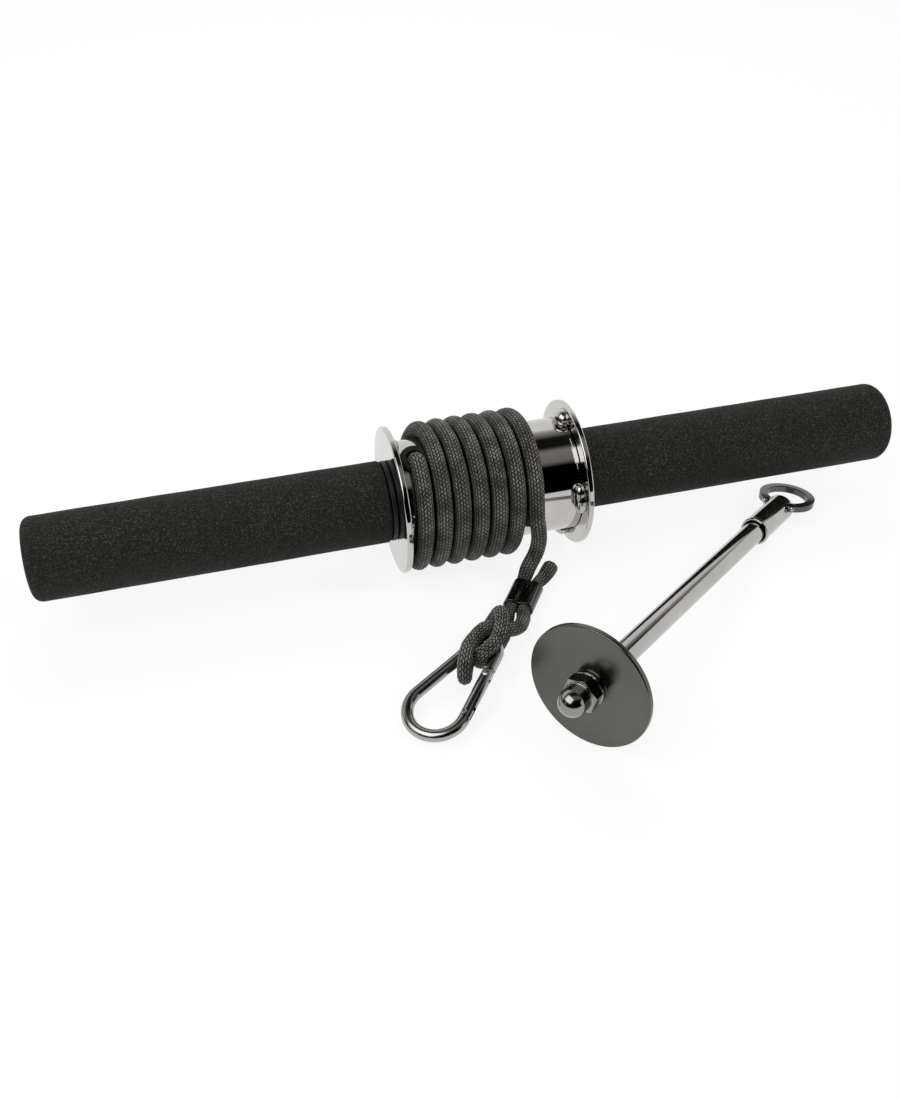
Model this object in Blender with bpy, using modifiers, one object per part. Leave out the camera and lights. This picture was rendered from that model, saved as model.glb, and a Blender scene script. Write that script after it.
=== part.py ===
"""Wrist trainer: a grip roller with a rope wound on its drum, a carabiner on the rope, and a loading pin.

Metres, +Z up. The roller lies along X on its two flanges. The rope leaves the drum at the front (-Y) and
carries a carabiner, and the loading pin lies in front of the roller on its disc and its eye.
"""

import math

import bmesh
import bpy
from mathutils import Matrix, Vector

MM = 0.001
GAP = 0.3 * MM
MERGE = 0.01 * MM
SKIM = 0.05 * MM
PAST = 2.0 * MM
SHARP_ANGLE = math.radians(35)

# Roller, along X and measured from the drum's middle
GRIP_DIAMETER = 40.0 * MM
GRIP_LENGTH = 168.0 * MM
GRIP_END_WALL = 7.0 * MM
GRIP_END_ROUNDING = 4.5 * MM
GRIP_INNER_ROUNDING = 2.0 * MM
GRIP_CROWN = 0.8 * MM
TUBE_DIAMETER = 25.4 * MM
TUBE_WALL = 1.5 * MM
SPACER_THICKNESS = 2.3 * MM
SPACER_DIAMETER = 39.0 * MM
SPACER_EDGE = 0.5 * MM
FLANGE_DIAMETER = 72.0 * MM
FLANGE_THICKNESS = 3.0 * MM
FLANGE_EDGE = 0.9 * MM
DRUM_DIAMETER = 56.0 * MM
DRUM_WALL = 2.0 * MM
DRUM_LENGTH = 85.1 * MM
WELD_COUNT = 4
WELD_PHASE = math.radians(-10)
WELD_LENGTH = 10.5 * MM
WELD_RISE = 3.9 * MM
WELD_OUTSET = 0.6 * MM
WELD_INSET = 0.5 * MM
WELD_RIPPLE = 0.18

# Rope and the way it lies on the drum
ROPE_DIAMETER = 7.6 * MM
ROPE_PITCH = 8.95 * MM
ROPE_SWAY = 3.2 * MM
ROPE_SWAY_PEAK = 0.95
ROPE_INSET = 8.1 * MM
ROPE_TURNS = 6.147
ROPE_START_ANGLE = math.radians(75)
ROPE_EXIT_BEND = 6.0 * MM
ROPE_STEP = 2.5 * MM
POINTS_PER_TURN = 24
LEAD_STEPS = 3
BEND_STEPS = 7
KNOT_DIAMETER = 14.5 * MM
KNOT_CLEARANCE = 0.5 * MM

# Grommet in the drum's wall
GROMMET_HOLE = 13.0 * MM
GROMMET_LIP_DIAMETER = 14.8 * MM
GROMMET_LIP_RISE = 2.2 * MM
GROMMET_INNER_LIP = 1.9 * MM

# Ferrule that joins the rope to itself
FERRULE_LENGTH = 16.7 * MM
FERRULE_LOBE = 4.2 * MM
FERRULE_WALL = 0.85 * MM
FERRULE_LOBE_OFFSET = 3.3 * MM
FERRULE_X = 6.85 * MM
FERRULE_Y = -50.3 * MM
FERRULE_Z = 4.35 * MM
FERRULE_HEADING = math.radians(54.5)
LEAD_IN = 2.5 * MM
SWELL = 10.0 * MM
TAIL_LENGTH = 18.0 * MM
TAIL_LEAN = 2.8 * MM
CRIMPED_ROPE = 6.0 * MM
HITCH_ROPE = 6.6 * MM

# Carabiner, a pear of round wire
WIRE_DIAMETER = 5.6 * MM
CARABINER_LENGTH = 60.0 * MM
CARABINER_WIDE_RADIUS = 15.8 * MM
CARABINER_NARROW_RADIUS = 8.9 * MM
CARABINER_X = -24.4 * MM
CARABINER_Y = -89.4 * MM
CARABINER_HEADING = math.radians(37.55)
CARABINER_TILT = math.radians(12)
HINGE_SETBACK = 10.9 * MM
GATE_LENGTH = 22.9 * MM
TONGUE_THICKNESS = 2.2 * MM
TONGUE_ROOT = 2.0 * MM
SLOT_CLEARANCE = 0.25 * MM
LATCH_GAP = 0.5 * MM
RIVET_DIAMETER = 2.0 * MM
RIVET_HEAD_DIAMETER = 3.6 * MM
RIVET_HEAD = 0.5 * MM
RIVET_STANDOFF = 0.1 * MM
LATCH_PIN_DIAMETER = 1.6 * MM
LATCH_PIN_SETBACK = 1.5 * MM
LATCH_PIN_DROP = 0.6 * MM
NOSE_LENGTH = 4.9 * MM
NOSE_CLEARANCE = 0.8 * MM
NOSE_TOP = 2.2 * MM
NOSE_FOOT = 1.9 * MM
NOSE_NECK = 1.2 * MM
NOSE_CORNER = 0.5 * MM
TONGUE_REACH = 2.45 * MM
HEEL_REACH = 2.7 * MM
SPRING_DIAMETER = 2.6 * MM
SPRING_WIRE = 0.4 * MM
SPRING_LENGTH = 7.0 * MM
SPRING_COILS = 7
PLUNGER_LENGTH = 2.4 * MM
PLUNGER_NOSE = 0.6 * MM

# Loading pin, measured along its rod from the disc's front face
DISC_DIAMETER = 58.0 * MM
DISC_THICKNESS = 3.0 * MM
DISC_EDGE = 0.8 * MM
DISC_SEAT = 13.0 * MM
DISC_SEAT_DEPTH = 0.2 * MM
ROD_DIAMETER = 11.0 * MM
ROD_CHAMFER = 0.8 * MM
THREAD_DIAMETER = 9.5 * MM
THREAD_REACH = 9.0 * MM
LOCK_WASHER_DIAMETER = 16.0 * MM
LOCK_WASHER_THICKNESS = 1.4 * MM
LOCK_WASHER_EDGE = 0.3 * MM
LOCK_WASHER_SLIT = 1.2 * MM
LOCK_WASHER_ROLL = math.radians(15)
LOCK_WASHER_SLANT = math.radians(35)
NUT_WIDTH = 14.8 * MM
NUT_HEX_HEIGHT = 5.4 * MM
NUT_HEIGHT = 16.4 * MM
NUT_DOME_DIAMETER = 12.7 * MM
NUT_CHAMFER = 0.6 * MM
NUT_FACE_INSET = 0.3 * MM
NUT_ROLL = math.radians(40)
SLEEVE_START = 157.7 * MM
SLEEVE_LENGTH = 33.0 * MM
SLEEVE_DIAMETER = 14.0 * MM
SLEEVE_WALL = 0.9 * MM
SLEEVE_LIP_DIAMETER = 14.5 * MM
SLEEVE_LIP_WIDTH = 1.6 * MM
SLEEVE_LIP_SLOPE = 0.6 * MM
SLEEVE_LIP_EDGE = 0.5 * MM
SLEEVE_MOUTH = 0.35 * MM
SLEEVE_GROOVE = 0.45 * MM
SLEEVE_END_WALL = 3.0 * MM
SLEEVE_NOSE = 2.2 * MM
RING_WIRE = 1.2 * MM
RING_SETBACK = 12.0 * MM
RING_OPENING = math.radians(28)
EYE_OUTSET = 5.3 * MM
EYE_DIAMETER = 28.4 * MM
EYE_WIDTH = 4.0 * MM
EYE_RISE = 2.6 * MM
EYE_THICKNESS = 3.5 * MM
EYE_EDGE = 0.35 * MM
EYE_ROLL = math.radians(3.6)
EYE_PITCH = math.radians(5.5)
EYE_BEAD_LENGTH = 6.5 * MM
EYE_BEAD_RISE = 3.9 * MM
EYE_STEPS = 40
PIN_X = 6.66 * MM
PIN_Y = -135.7 * MM
PIN_HEADING = math.radians(37.2)

# Derived sizes
FLANGE_RADIUS = FLANGE_DIAMETER / 2
DRUM_RADIUS = DRUM_DIAMETER / 2
DRUM_INNER_RADIUS = DRUM_RADIUS - DRUM_WALL
TUBE_RADIUS = TUBE_DIAMETER / 2
ROPE_RADIUS = ROPE_DIAMETER / 2
COIL_RADIUS = DRUM_RADIUS + GAP + ROPE_RADIUS
FLANGE_INNER_FACE = DRUM_LENGTH / 2 + GAP
FLANGE_OUTER_FACE = FLANGE_INNER_FACE + FLANGE_THICKNESS
GRIP_START = FLANGE_OUTER_FACE + 2 * GAP + SPACER_THICKNESS
ROPE_START = ROPE_INSET - FLANGE_INNER_FACE
WIRE_RADIUS = WIRE_DIAMETER / 2
WIDE_BEND = CARABINER_WIDE_RADIUS - WIRE_RADIUS
NARROW_BEND = CARABINER_NARROW_RADIUS - WIRE_RADIUS
BEND_SPACING = CARABINER_LENGTH - CARABINER_WIDE_RADIUS - CARABINER_NARROW_RADIUS
SIDE_ANGLE = math.asin((WIDE_BEND - NARROW_BEND) / BEND_SPACING)
SLOT_WIDTH = TONGUE_THICKNESS + 2 * SLOT_CLEARANCE
NUT_BASE = -(LOCK_WASHER_THICKNESS + 2 * GAP)
SLEEVE_END = SLEEVE_START + SLEEVE_LENGTH
EYE_CENTRE = SLEEVE_END + EYE_OUTSET
ROD_END = SLEEVE_END - SLEEVE_END_WALL - GAP
PIN_REACH = SLEEVE_END - SLEEVE_NOSE - DISC_THICKNESS + DISC_EDGE
PIN_RISE = (DISC_DIAMETER - SLEEVE_DIAMETER) / 2 + SLEEVE_NOSE - DISC_EDGE
PIN_SPAN = math.hypot(PIN_RISE, PIN_REACH)
PIN_SLOPE = math.atan2(PIN_RISE, PIN_REACH) - math.asin((SLEEVE_NOSE - DISC_EDGE) / PIN_SPAN)

# Route of the hitch, from the ferrule's right lobe round the carabiner's narrow end twice and back to its
# left lobe, in millimetres: along the carabiner, towards its spine, and up from its wire
HITCH_ROUTE = (
    (33.5, 2.8, -14.2), (28.6, 0.0, -10.4), (23.0, -2.8, -5.6), (17.5, -2.0, -2.0), (13.8, 0.8, 0.4),
    (11.2, 3.0, 3.8), (7.0, 4.5, 6.4), (1.0, 4.6, 7.2), (-5.0, 4.2, 7.4), (-10.5, 2.2, 5.8),
    (-14.0, 0.6, 1.6), (-14.2, 0.8, -3.0), (-11.0, 3.4, -6.4), (-5.0, 6.8, -7.4), (2.0, 8.6, -8.0),
    (8.4, 9.8, -8.6), (14.6, 10.2, -8.2), (19.2, 9.2, -4.8), (20.4, 6.8, 0.6), (19.0, 3.8, 5.6),
    (15.6, 0.2, 8.8), (11.0, -2.8, 9.1), (6.0, -4.5, 7.8), (0.8, -3.9, 6.4), (-2.6, -2.1, 4.6),
    (-4.0, -0.2, 0.8), (-3.4, 0.3, -3.4), (0.0, 0.5, -6.5), (6.0, 0.8, -8.2), (13.0, 1.8, -10.0),
    (20.0, 4.0, -11.7), (28.0, 8.4, -13.7), (32.0, 10.6, -15.0),
)

# Route of the free stretch between the drum and the ferrule, in millimetres in the roller's frame
DROP_ROUTE = ((18.4, -34.2, 33.0), (18.9, -35.0, 24.0), (17.3, -35.0, 16.0), (13.6, -36.4, 9.8))


def clear_scene():
    for old in list(bpy.data.objects):
        bpy.data.objects.remove(old, do_unlink=True)


def new_collection(name):
    made = bpy.data.collections.new(name)
    bpy.context.scene.collection.children.link(made)
    return made


def make_material(name, color, roughness, metallic):
    made = bpy.data.materials.new(name)
    made.use_nodes = True
    shader = made.node_tree.nodes["Principled BSDF"]
    shader.inputs["Base Color"].default_value = (*color, 1.0)
    shader.inputs["Roughness"].default_value = roughness
    shader.inputs["Metallic"].default_value = metallic
    made.diffuse_color = (*color, 1.0)
    return made


def make_empty(name, parent, location=(0, 0, 0), rotation=None):
    made = bpy.data.objects.new(name, None)
    PARTS.objects.link(made)
    made.parent = parent
    place = rotation.to_4x4() if rotation else Matrix.Identity(4)
    made.matrix_local = Matrix.Translation(Vector(location)) @ place
    return made


def add_object(name, data, parent, material=None, cutter=False):
    made = bpy.data.objects.new(name, data)
    (CUTTERS if cutter else PARTS).objects.link(made)
    made.parent = parent
    if material:
        data.materials.append(material)
    if cutter:
        made.hide_render = True
        made.display_type = "WIRE"
    return made


def turned(name, profile, parent, material=None, steps=48, closed=False, cutter=False, offset=0.0):
    """Turn a profile of (radius, height) points about the parent's Z axis."""
    mesh = bpy.data.meshes.new(name)
    points = [(radius, 0.0, height + offset) for radius, height in profile]
    edges = [(i, i + 1) for i in range(len(points) - 1)]
    if closed:
        edges.append((len(points) - 1, 0))
    mesh.from_pydata(points, edges, [])
    made = add_object(name, mesh, parent, material, cutter)
    screw = made.modifiers.new("Screw", "SCREW")
    screw.steps = steps
    screw.render_steps = steps
    screw.use_merge_vertices = True
    screw.merge_threshold = MERGE
    screw.use_smooth_shade = True
    return made


def cylinder(name, radius, length, parent, place, segments=24, material=None, cutter=True, top=None):
    """A cylinder centred at place, its axis along the place's own Z."""
    mesh = bpy.data.meshes.new(name)
    shape = bmesh.new()
    bmesh.ops.create_cone(shape, cap_ends=True, segments=segments, radius1=radius,
                          radius2=radius if top is None else top, depth=length)
    shape.to_mesh(mesh)
    shape.free()
    smooth(mesh)
    made = add_object(name, mesh, parent, material, cutter)
    made.matrix_local = place
    return made


def smooth(mesh):
    """Shade a mesh smooth, with its sharp edges kept."""
    mesh.shade_smooth()
    mesh.set_sharp_from_angle(angle=SHARP_ANGLE)


def block(name, size, parent, place, material=None, cutter=True):
    mesh = bpy.data.meshes.new(name)
    shape = bmesh.new()
    bmesh.ops.create_cube(shape, size=1.0)
    bmesh.ops.scale(shape, vec=size, verts=shape.verts)
    shape.to_mesh(mesh)
    shape.free()
    made = add_object(name, mesh, parent, material, cutter)
    made.matrix_local = place
    return made


def flat_plate(name, outlines, thickness, parent, place, material=None, cutter=False, edge=0.0):
    """A plate cut to closed outlines in its own XY plane, the second outline being a hole."""
    curve = bpy.data.curves.new(name, "CURVE")
    curve.dimensions = "2D"
    curve.fill_mode = "BOTH"
    curve.extrude = thickness / 2 - edge
    curve.bevel_depth = edge
    curve.offset = -edge
    curve.bevel_resolution = 0
    for outline in outlines:
        spline = curve.splines.new("POLY")
        spline.points.add(len(outline) - 1)
        for point, (x, y) in zip(spline.points, outline):
            point.co = (x, y, 0.0, 1.0)
        spline.use_cyclic_u = True
    made = add_object(name, curve, parent, material, cutter)
    made.matrix_local = place
    return as_mesh(made)


def tube(name, points, radius, parent, material=None, sides=2, scales=None, cutter=False):
    """A round tube with filled ends along the points."""
    curve = bpy.data.curves.new(name, "CURVE")
    curve.dimensions = "3D"
    curve.bevel_depth = radius
    curve.bevel_resolution = sides
    curve.use_fill_caps = True
    curve.twist_mode = "MINIMUM"
    spline = curve.splines.new("POLY")
    spline.points.add(len(points) - 1)
    for index, place in enumerate(points):
        spline.points[index].co = (*place, 1.0)
        spline.points[index].radius = scales[index] if scales else 1.0
    return add_object(name, curve, parent, material, cutter)


def as_mesh(made):
    """Turn a curve object into a mesh object of the same name, with its caps welded on."""
    bpy.context.view_layer.update()
    evaluated = made.evaluated_get(bpy.context.evaluated_depsgraph_get())
    mesh = bpy.data.meshes.new_from_object(evaluated)
    shape = bmesh.new()
    shape.from_mesh(mesh)
    bmesh.ops.remove_doubles(shape, verts=shape.verts, dist=MERGE)
    bmesh.ops.recalc_face_normals(shape, faces=shape.faces)
    shape.to_mesh(mesh)
    shape.free()
    smooth(mesh)
    name, parent, place = made.name, made.parent, made.matrix_local.copy()
    target = made.users_collection[0]
    cutter = made.hide_render
    bpy.data.objects.remove(made, do_unlink=True)
    solid = bpy.data.objects.new(name, mesh)
    target.objects.link(solid)
    solid.parent = parent
    solid.matrix_local = place
    if cutter:
        solid.hide_render = True
        solid.display_type = "WIRE"
    return solid


def combine(made, other, operation):
    step = made.modifiers.new(other.name, "BOOLEAN")
    step.operation = operation
    step.solver = "EXACT"
    step.object = other
    return made


def cut(made, *others):
    for other in others:
        combine(made, other, "DIFFERENCE")
    return made


def smooth_path(knots, spacing):
    """Points at even spacing along a smooth curve through the knots, end knots included."""
    knots = [Vector(knot) for knot in knots]
    ends = [2 * knots[0] - knots[1]], [2 * knots[-1] - knots[-2]]
    guide = ends[0] + knots + ends[1]
    fine = [knots[0]]
    steps = 24
    for i in range(1, len(guide) - 2):
        before, start, stop, after = guide[i - 1:i + 3]
        reach = [math.sqrt((b - a).length) for a, b in ((before, start), (start, stop), (stop, after))]
        first, middle, last = reach
        leave = (start - before) / first - (stop - before) / (first + middle) + (stop - start) / middle
        arrive = (stop - start) / middle - (after - start) / (middle + last) + (after - stop) / last
        leave, arrive = leave * middle, arrive * middle
        for step in range(1, steps + 1):
            t = step / steps
            fine.append(start * (2 * t ** 3 - 3 * t ** 2 + 1) + leave * (t ** 3 - 2 * t ** 2 + t)
                        + stop * (3 * t ** 2 - 2 * t ** 3) + arrive * (t ** 3 - t ** 2))
    return resample(fine, spacing)


def resample(fine, spacing):
    run = [0.0]
    for a, b in zip(fine, fine[1:]):
        run.append(run[-1] + (b - a).length)
    count = max(2, round(run[-1] / spacing))
    points, i = [], 0
    for n in range(count + 1):
        goal = run[-1] * n / count
        while i < len(fine) - 2 and run[i + 1] < goal:
            i += 1
        part = (goal - run[i]) / (run[i + 1] - run[i])
        points.append(fine[i].lerp(fine[i + 1], min(1.0, part)))
    return points


def path_length(points):
    return sum((b - a).length for a, b in zip(points, points[1:]))


def least_self_gap(points, diameter, scales=None):
    """Least gap between two stretches of one tube that are more than three diameters apart along it."""
    run = [0.0]
    for a, b in zip(points, points[1:]):
        run.append(run[-1] + (b - a).length)
    sizes = [diameter * scale for scale in scales] if scales else [diameter] * len(points)
    least = math.inf
    for i in range(len(points)):
        for j in range(i + 1, len(points)):
            if run[j] - run[i] > 3 * diameter:
                least = min(least, (points[i] - points[j]).length - (sizes[i] + sizes[j]) / 2)
    return least


def arc(centre, radius, start, stop, count):
    """Points along an arc in a plane, from the start angle to the stop angle."""
    turns = [start + (stop - start) * i / count for i in range(count + 1)]
    return [(centre[0] + radius * math.cos(turn), centre[1] + radius * math.sin(turn)) for turn in turns]


def frame_of(x_axis, y_axis, z_axis, origin=(0, 0, 0)):
    turn = Matrix((x_axis, y_axis, z_axis)).transposed().to_4x4()
    return Matrix.Translation(Vector(origin)) @ turn


def make_core(roller, steel):
    """The tube that runs through the drum, both flanges and both grips."""
    end = GRIP_START + GRIP_LENGTH - GRIP_END_WALL - GAP
    inner = TUBE_RADIUS - TUBE_WALL
    turned("core_tube", [(TUBE_RADIUS, end), (TUBE_RADIUS, -end), (inner, -end), (inner, end)],
           roller, steel, steps=40, closed=True)


def make_grip(side, roller, foam):
    """A closed foam sleeve with a rounded blind end and a softer inner edge."""
    radius, bore = GRIP_DIAMETER / 2, TUBE_RADIUS + GAP
    start, end = GRIP_START, GRIP_START + GRIP_LENGTH
    flat = radius - GRIP_END_ROUNDING
    cap = [(0, end), (flat * 0.6, end - GRIP_CROWN * 0.3)]
    cap += arc((flat, end - GRIP_CROWN - GRIP_END_ROUNDING), GRIP_END_ROUNDING, math.pi / 2, 0, 5)
    mouth = arc((radius - GRIP_INNER_ROUNDING, start + GRIP_INNER_ROUNDING), GRIP_INNER_ROUNDING,
                0, -math.pi / 2, 3)
    profile = cap + mouth + [(bore, start), (bore, end - GRIP_END_WALL), (0, end - GRIP_END_WALL)]
    if side == "left":
        profile = [(r, -z) for r, z in reversed(profile)]
    turned(side + "_grip", profile, roller, foam, steps=40)


def make_spacer(side, roller, rubber):
    low, high = FLANGE_OUTER_FACE + GAP, FLANGE_OUTER_FACE + GAP + SPACER_THICKNESS
    if side == "left":
        low, high = -high, -low
    outer, bore, edge = SPACER_DIAMETER / 2, TUBE_RADIUS + GAP, SPACER_EDGE
    profile = [(outer - edge, high), (outer, high - edge), (outer, low + edge), (outer - edge, low),
               (bore, low), (bore, high)]
    turned(side + "_spacer", profile, roller, rubber, steps=32, closed=True)


def weld_bead(name, parent, place, length, rise):
    """A rounded lump of weld metal with a slight ripple, longest along the place's own X."""
    mesh = bpy.data.meshes.new(name)
    shape = bmesh.new()
    bmesh.ops.create_uvsphere(shape, u_segments=10, v_segments=5, radius=0.5)
    bmesh.ops.scale(shape, vec=(length, rise, rise), verts=shape.verts)
    for vert in shape.verts:
        vert.co.z *= 1.0 + WELD_RIPPLE * math.sin(math.tau * vert.co.x / length)
    shape.to_mesh(mesh)
    shape.free()
    made = add_object(name, mesh, parent, cutter=True)
    made.matrix_local = place
    return made


def make_flange(side, roller, chrome):
    """A flat round flange with rolled edges and weld beads in the corner where the drum meets it."""
    sign = 1 if side == "right" else -1
    low, high = sorted((sign * FLANGE_INNER_FACE, sign * FLANGE_OUTER_FACE))
    bore = TUBE_RADIUS + GAP
    rim = arc((FLANGE_RADIUS - FLANGE_EDGE, high - FLANGE_EDGE), FLANGE_EDGE, math.pi / 2, 0, 2)
    rim += arc((FLANGE_RADIUS - FLANGE_EDGE, low + FLANGE_EDGE), FLANGE_EDGE, 0, -math.pi / 2, 2)
    profile = rim + [(bore, low), (bore, high)]
    flange = turned(side + "_flange", profile, roller, chrome, steps=64, closed=True)
    middle = FLANGE_INNER_FACE + FLANGE_THICKNESS / 4 - DRUM_LENGTH / 2
    clear = cylinder(side + "_drum_clearance", DRUM_RADIUS + GAP, DRUM_LENGTH, roller,
                     Matrix.Translation((0, 0, sign * middle)), segments=48)
    for number in range(WELD_COUNT):
        turn = Matrix.Rotation(WELD_PHASE + number * math.tau / WELD_COUNT, 4, "Z")
        seat = Matrix.Translation((-(DRUM_RADIUS + WELD_OUTSET), 0, sign * (FLANGE_INNER_FACE - WELD_INSET)))
        place = turn @ seat @ Matrix.Rotation(math.pi / 2, 4, "Z")
        bead = weld_bead(f"{side}_bead_{number}", roller, place, WELD_LENGTH, WELD_RISE)
        combine(flange, cut(bead, clear), "UNION")
    return flange


def rope_hole_place(roller):
    """The place of the rope's hole: Z points out of the drum, X along it, in the roller's frame."""
    out = Vector((-math.sin(ROPE_START_ANGLE), -math.cos(ROPE_START_ANGLE), 0))
    along = Vector((0, 0, 1))
    return frame_of(along, out.cross(along), out, (0, 0, ROPE_START))


def make_drum(roller, chrome):
    low, high = -DRUM_LENGTH / 2, DRUM_LENGTH / 2
    drum = turned("drum", [(DRUM_RADIUS, high), (DRUM_RADIUS, low), (DRUM_INNER_RADIUS, low),
                           (DRUM_INNER_RADIUS, high)], roller, chrome, steps=64, closed=True)
    place = rope_hole_place(roller) @ Matrix.Translation((0, 0, DRUM_RADIUS))
    hole = cylinder("rope_hole", GROMMET_HOLE / 2, 6 * DRUM_WALL, roller, place, segments=32)
    return cut(drum, hole)


def make_grommet(roller, layout, rubber, coil):
    """A rubber ring seated in the drum's wall, hollowed where the rope bends over its lip.

    A groove is wider than the rope, so it folds over itself inside the bend and its cut allows for that.
    """
    lip, neck, bore = GROMMET_LIP_DIAMETER / 2, GROMMET_HOLE / 2 - GAP, ROPE_RADIUS + GAP
    curl = GROMMET_LIP_RISE / 2
    top = DRUM_RADIUS + GAP + GROMMET_LIP_RISE
    bottom = DRUM_INNER_RADIUS - GAP - GROMMET_INNER_LIP
    crown = arc((lip - curl, top - curl), curl, math.pi / 2, 0, 4)
    holder = make_empty("rope_hole_axis", roller)
    holder.matrix_local = rope_hole_place(roller)
    grommet = turned("rope_grommet", crown + [(lip, bottom), (bore, bottom), (bore, top)], holder, rubber,
                     steps=24, closed=True)
    outer, inner, half = DRUM_RADIUS + GAP, DRUM_INNER_RADIUS - GAP, 2 * GROMMET_LIP_DIAMETER
    wall = turned("grommet_wall_clearance", [(outer, half), (outer, -half), (inner, -half), (inner, half)],
                  roller, steps=64, closed=True, cutter=True, offset=ROPE_START)
    seat = cylinder("grommet_neck", neck, 2 * DRUM_RADIUS, holder, Matrix.Translation((0, 0, DRUM_RADIUS)),
                    segments=32)
    cut(wall, seat)
    cut(grommet, wall)
    reach = POINTS_PER_TURN // 5
    wound = LEAD_STEPS + BEND_STEPS
    leaving = coil[:wound + reach]
    passing = coil[wound + POINTS_PER_TURN - reach:wound + POINTS_PER_TURN + reach]
    for name, strand in (("leaving", leaving), ("passing", passing)):
        groove = tube(name + "_rope_groove", strand, ROPE_RADIUS + 2.5 * GAP, layout, sides=2, cutter=True)
        cut(grommet, as_mesh(groove)).modifiers[-1].use_self = True
    return grommet


def coil_place(turns):
    """Centre of the rope on the drum after a number of turns, going down the front first."""
    angle = ROPE_START_ANGLE - turns * math.tau
    sway = math.cos(math.tau * (turns - ROPE_SWAY_PEAK)) - math.cos(math.tau * ROPE_SWAY_PEAK)
    x = ROPE_START + ROPE_PITCH * turns + ROPE_SWAY * sway
    return Vector((x, -COIL_RADIUS * math.cos(angle), FLANGE_RADIUS + COIL_RADIUS * math.sin(angle)))


def coil_points():
    """The rope from inside the drum, out through its hole and round the drum to where it hangs free."""
    out = Vector((0, -math.cos(ROPE_START_ANGLE), math.sin(ROPE_START_ANGLE)))
    down = Vector((0, -math.sin(ROPE_START_ANGLE), -math.cos(ROPE_START_ANGLE)))
    hole = Vector((ROPE_START, 0, FLANGE_RADIUS))
    bend = ROPE_EXIT_BEND
    points = []
    foot = COIL_RADIUS - bend
    for step in range(LEAD_STEPS):
        points.append(hole + out * (foot - ROPE_DIAMETER * (1 - step / LEAD_STEPS)))
    lead = bend / (math.tau * COIL_RADIUS)
    for step in range(BEND_STEPS):
        turn = math.pi / 2 * step / BEND_STEPS
        points.append(hole + out * (foot + bend * math.sin(turn)) + down * (bend * (1 - math.cos(turn))))
    count = round((ROPE_TURNS - lead) * POINTS_PER_TURN)
    for step in range(count + 1):
        points.append(coil_place(lead + (ROPE_TURNS - lead) * step / count))
    leave = (coil_place(ROPE_TURNS) - coil_place(ROPE_TURNS - 0.002)).normalized()
    points.append(points[-1] + leave * ROPE_DIAMETER)
    return points, leave


def make_knot(roller, rope):
    """The stopper knot drawn up behind the grommet, as a rounded lump round the rope's end."""
    holder = make_empty("knot_axis", roller)
    holder.matrix_local = rope_hole_place(roller)
    top = DRUM_INNER_RADIUS - GAP - GROMMET_INNER_LIP - GAP
    foot = TUBE_RADIUS + KNOT_CLEARANCE
    rope_end = COIL_RADIUS - ROPE_EXIT_BEND - ROPE_DIAMETER - GAP
    seat, radius = ROPE_RADIUS + GAP, KNOT_DIAMETER / 2
    rise = top - foot
    profile = [(0, rope_end), (seat, rope_end), (seat, top)]
    profile += [(radius - 0.30 * rise, top - 0.04 * rise), (radius - 0.09 * rise, top - 0.20 * rise),
                (radius, top - 0.5 * rise), (radius - 0.09 * rise, foot + 0.20 * rise),
                (radius - 0.30 * rise, foot + 0.04 * rise), (0, foot)]
    return turned("rope_knot", profile, holder, rope, steps=20)


def ferrule_frame():
    """Place of the ferrule's middle: X towards the tail's lobe, Z towards the drum."""
    towards = Vector((math.cos(FERRULE_HEADING), math.sin(FERRULE_HEADING), 0))
    right = Vector((math.sin(FERRULE_HEADING), -math.cos(FERRULE_HEADING), 0))
    return frame_of(right, towards.cross(right), towards, (FERRULE_X, FERRULE_Y, FERRULE_Z))


def two_lobes(radius):
    """Outline of two overlapping circles side by side."""
    reach = math.acos(-min(1.0, FERRULE_LOBE_OFFSET / radius))
    right = arc((FERRULE_LOBE_OFFSET, 0), radius, -reach, reach, 16)
    left = [(-x, -y) for x, y in right]
    return right[:-1] + left[:-1]


def make_ferrule(layout, steel):
    place = ferrule_frame()
    return flat_plate("crimp_ferrule", [two_lobes(FERRULE_LOBE), two_lobes(FERRULE_LOBE - FERRULE_WALL)],
                      FERRULE_LENGTH, layout, place, steel)


def rope_scales(points, sizes):
    """Radius of each point as a share of the rope's, blended between sizes given along the tube."""
    run = [0.0]
    for a, b in zip(points, points[1:]):
        run.append(run[-1] + (b - a).length)
    total = run[-1]
    stops = [(total + at if at < 0 else at, size / ROPE_DIAMETER) for at, size in sizes]
    scales = []
    for at in run:
        for (a, low), (b, high) in zip(stops, stops[1:]):
            if at <= b + 1e-9:
                scales.append(low + (high - low) * max(0.0, (at - a)) / (b - a))
                break
        else:
            scales.append(stops[-1][1])
    return scales


def drop_points(coil, leave):
    """The free stretch, from the end of the winding into the ferrule's left lobe."""
    frame = ferrule_frame()
    start = coil[-1] + leave * 1.4 * GAP
    half = FERRULE_LENGTH / 2
    lead_in = [frame @ Vector((-FERRULE_LOBE_OFFSET, 0, at)) for at in (half + LEAD_IN, half, GAP / 2)]
    route = [start, start + leave * 0.6 * ROPE_DIAMETER] + [Vector(p) * MM for p in DROP_ROUTE]
    return smooth_path(route + lead_in, ROPE_STEP)


def make_drop(layout, rope, points):
    mouth = FERRULE_LENGTH / 2
    sizes = [(0.0, ROPE_DIAMETER), (-(mouth + SWELL), ROPE_DIAMETER), (-mouth, CRIMPED_ROPE),
             (-MERGE, CRIMPED_ROPE)]
    return tube("rope_drop", points, ROPE_RADIUS, layout, rope, sides=3, scales=rope_scales(points, sizes))


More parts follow.
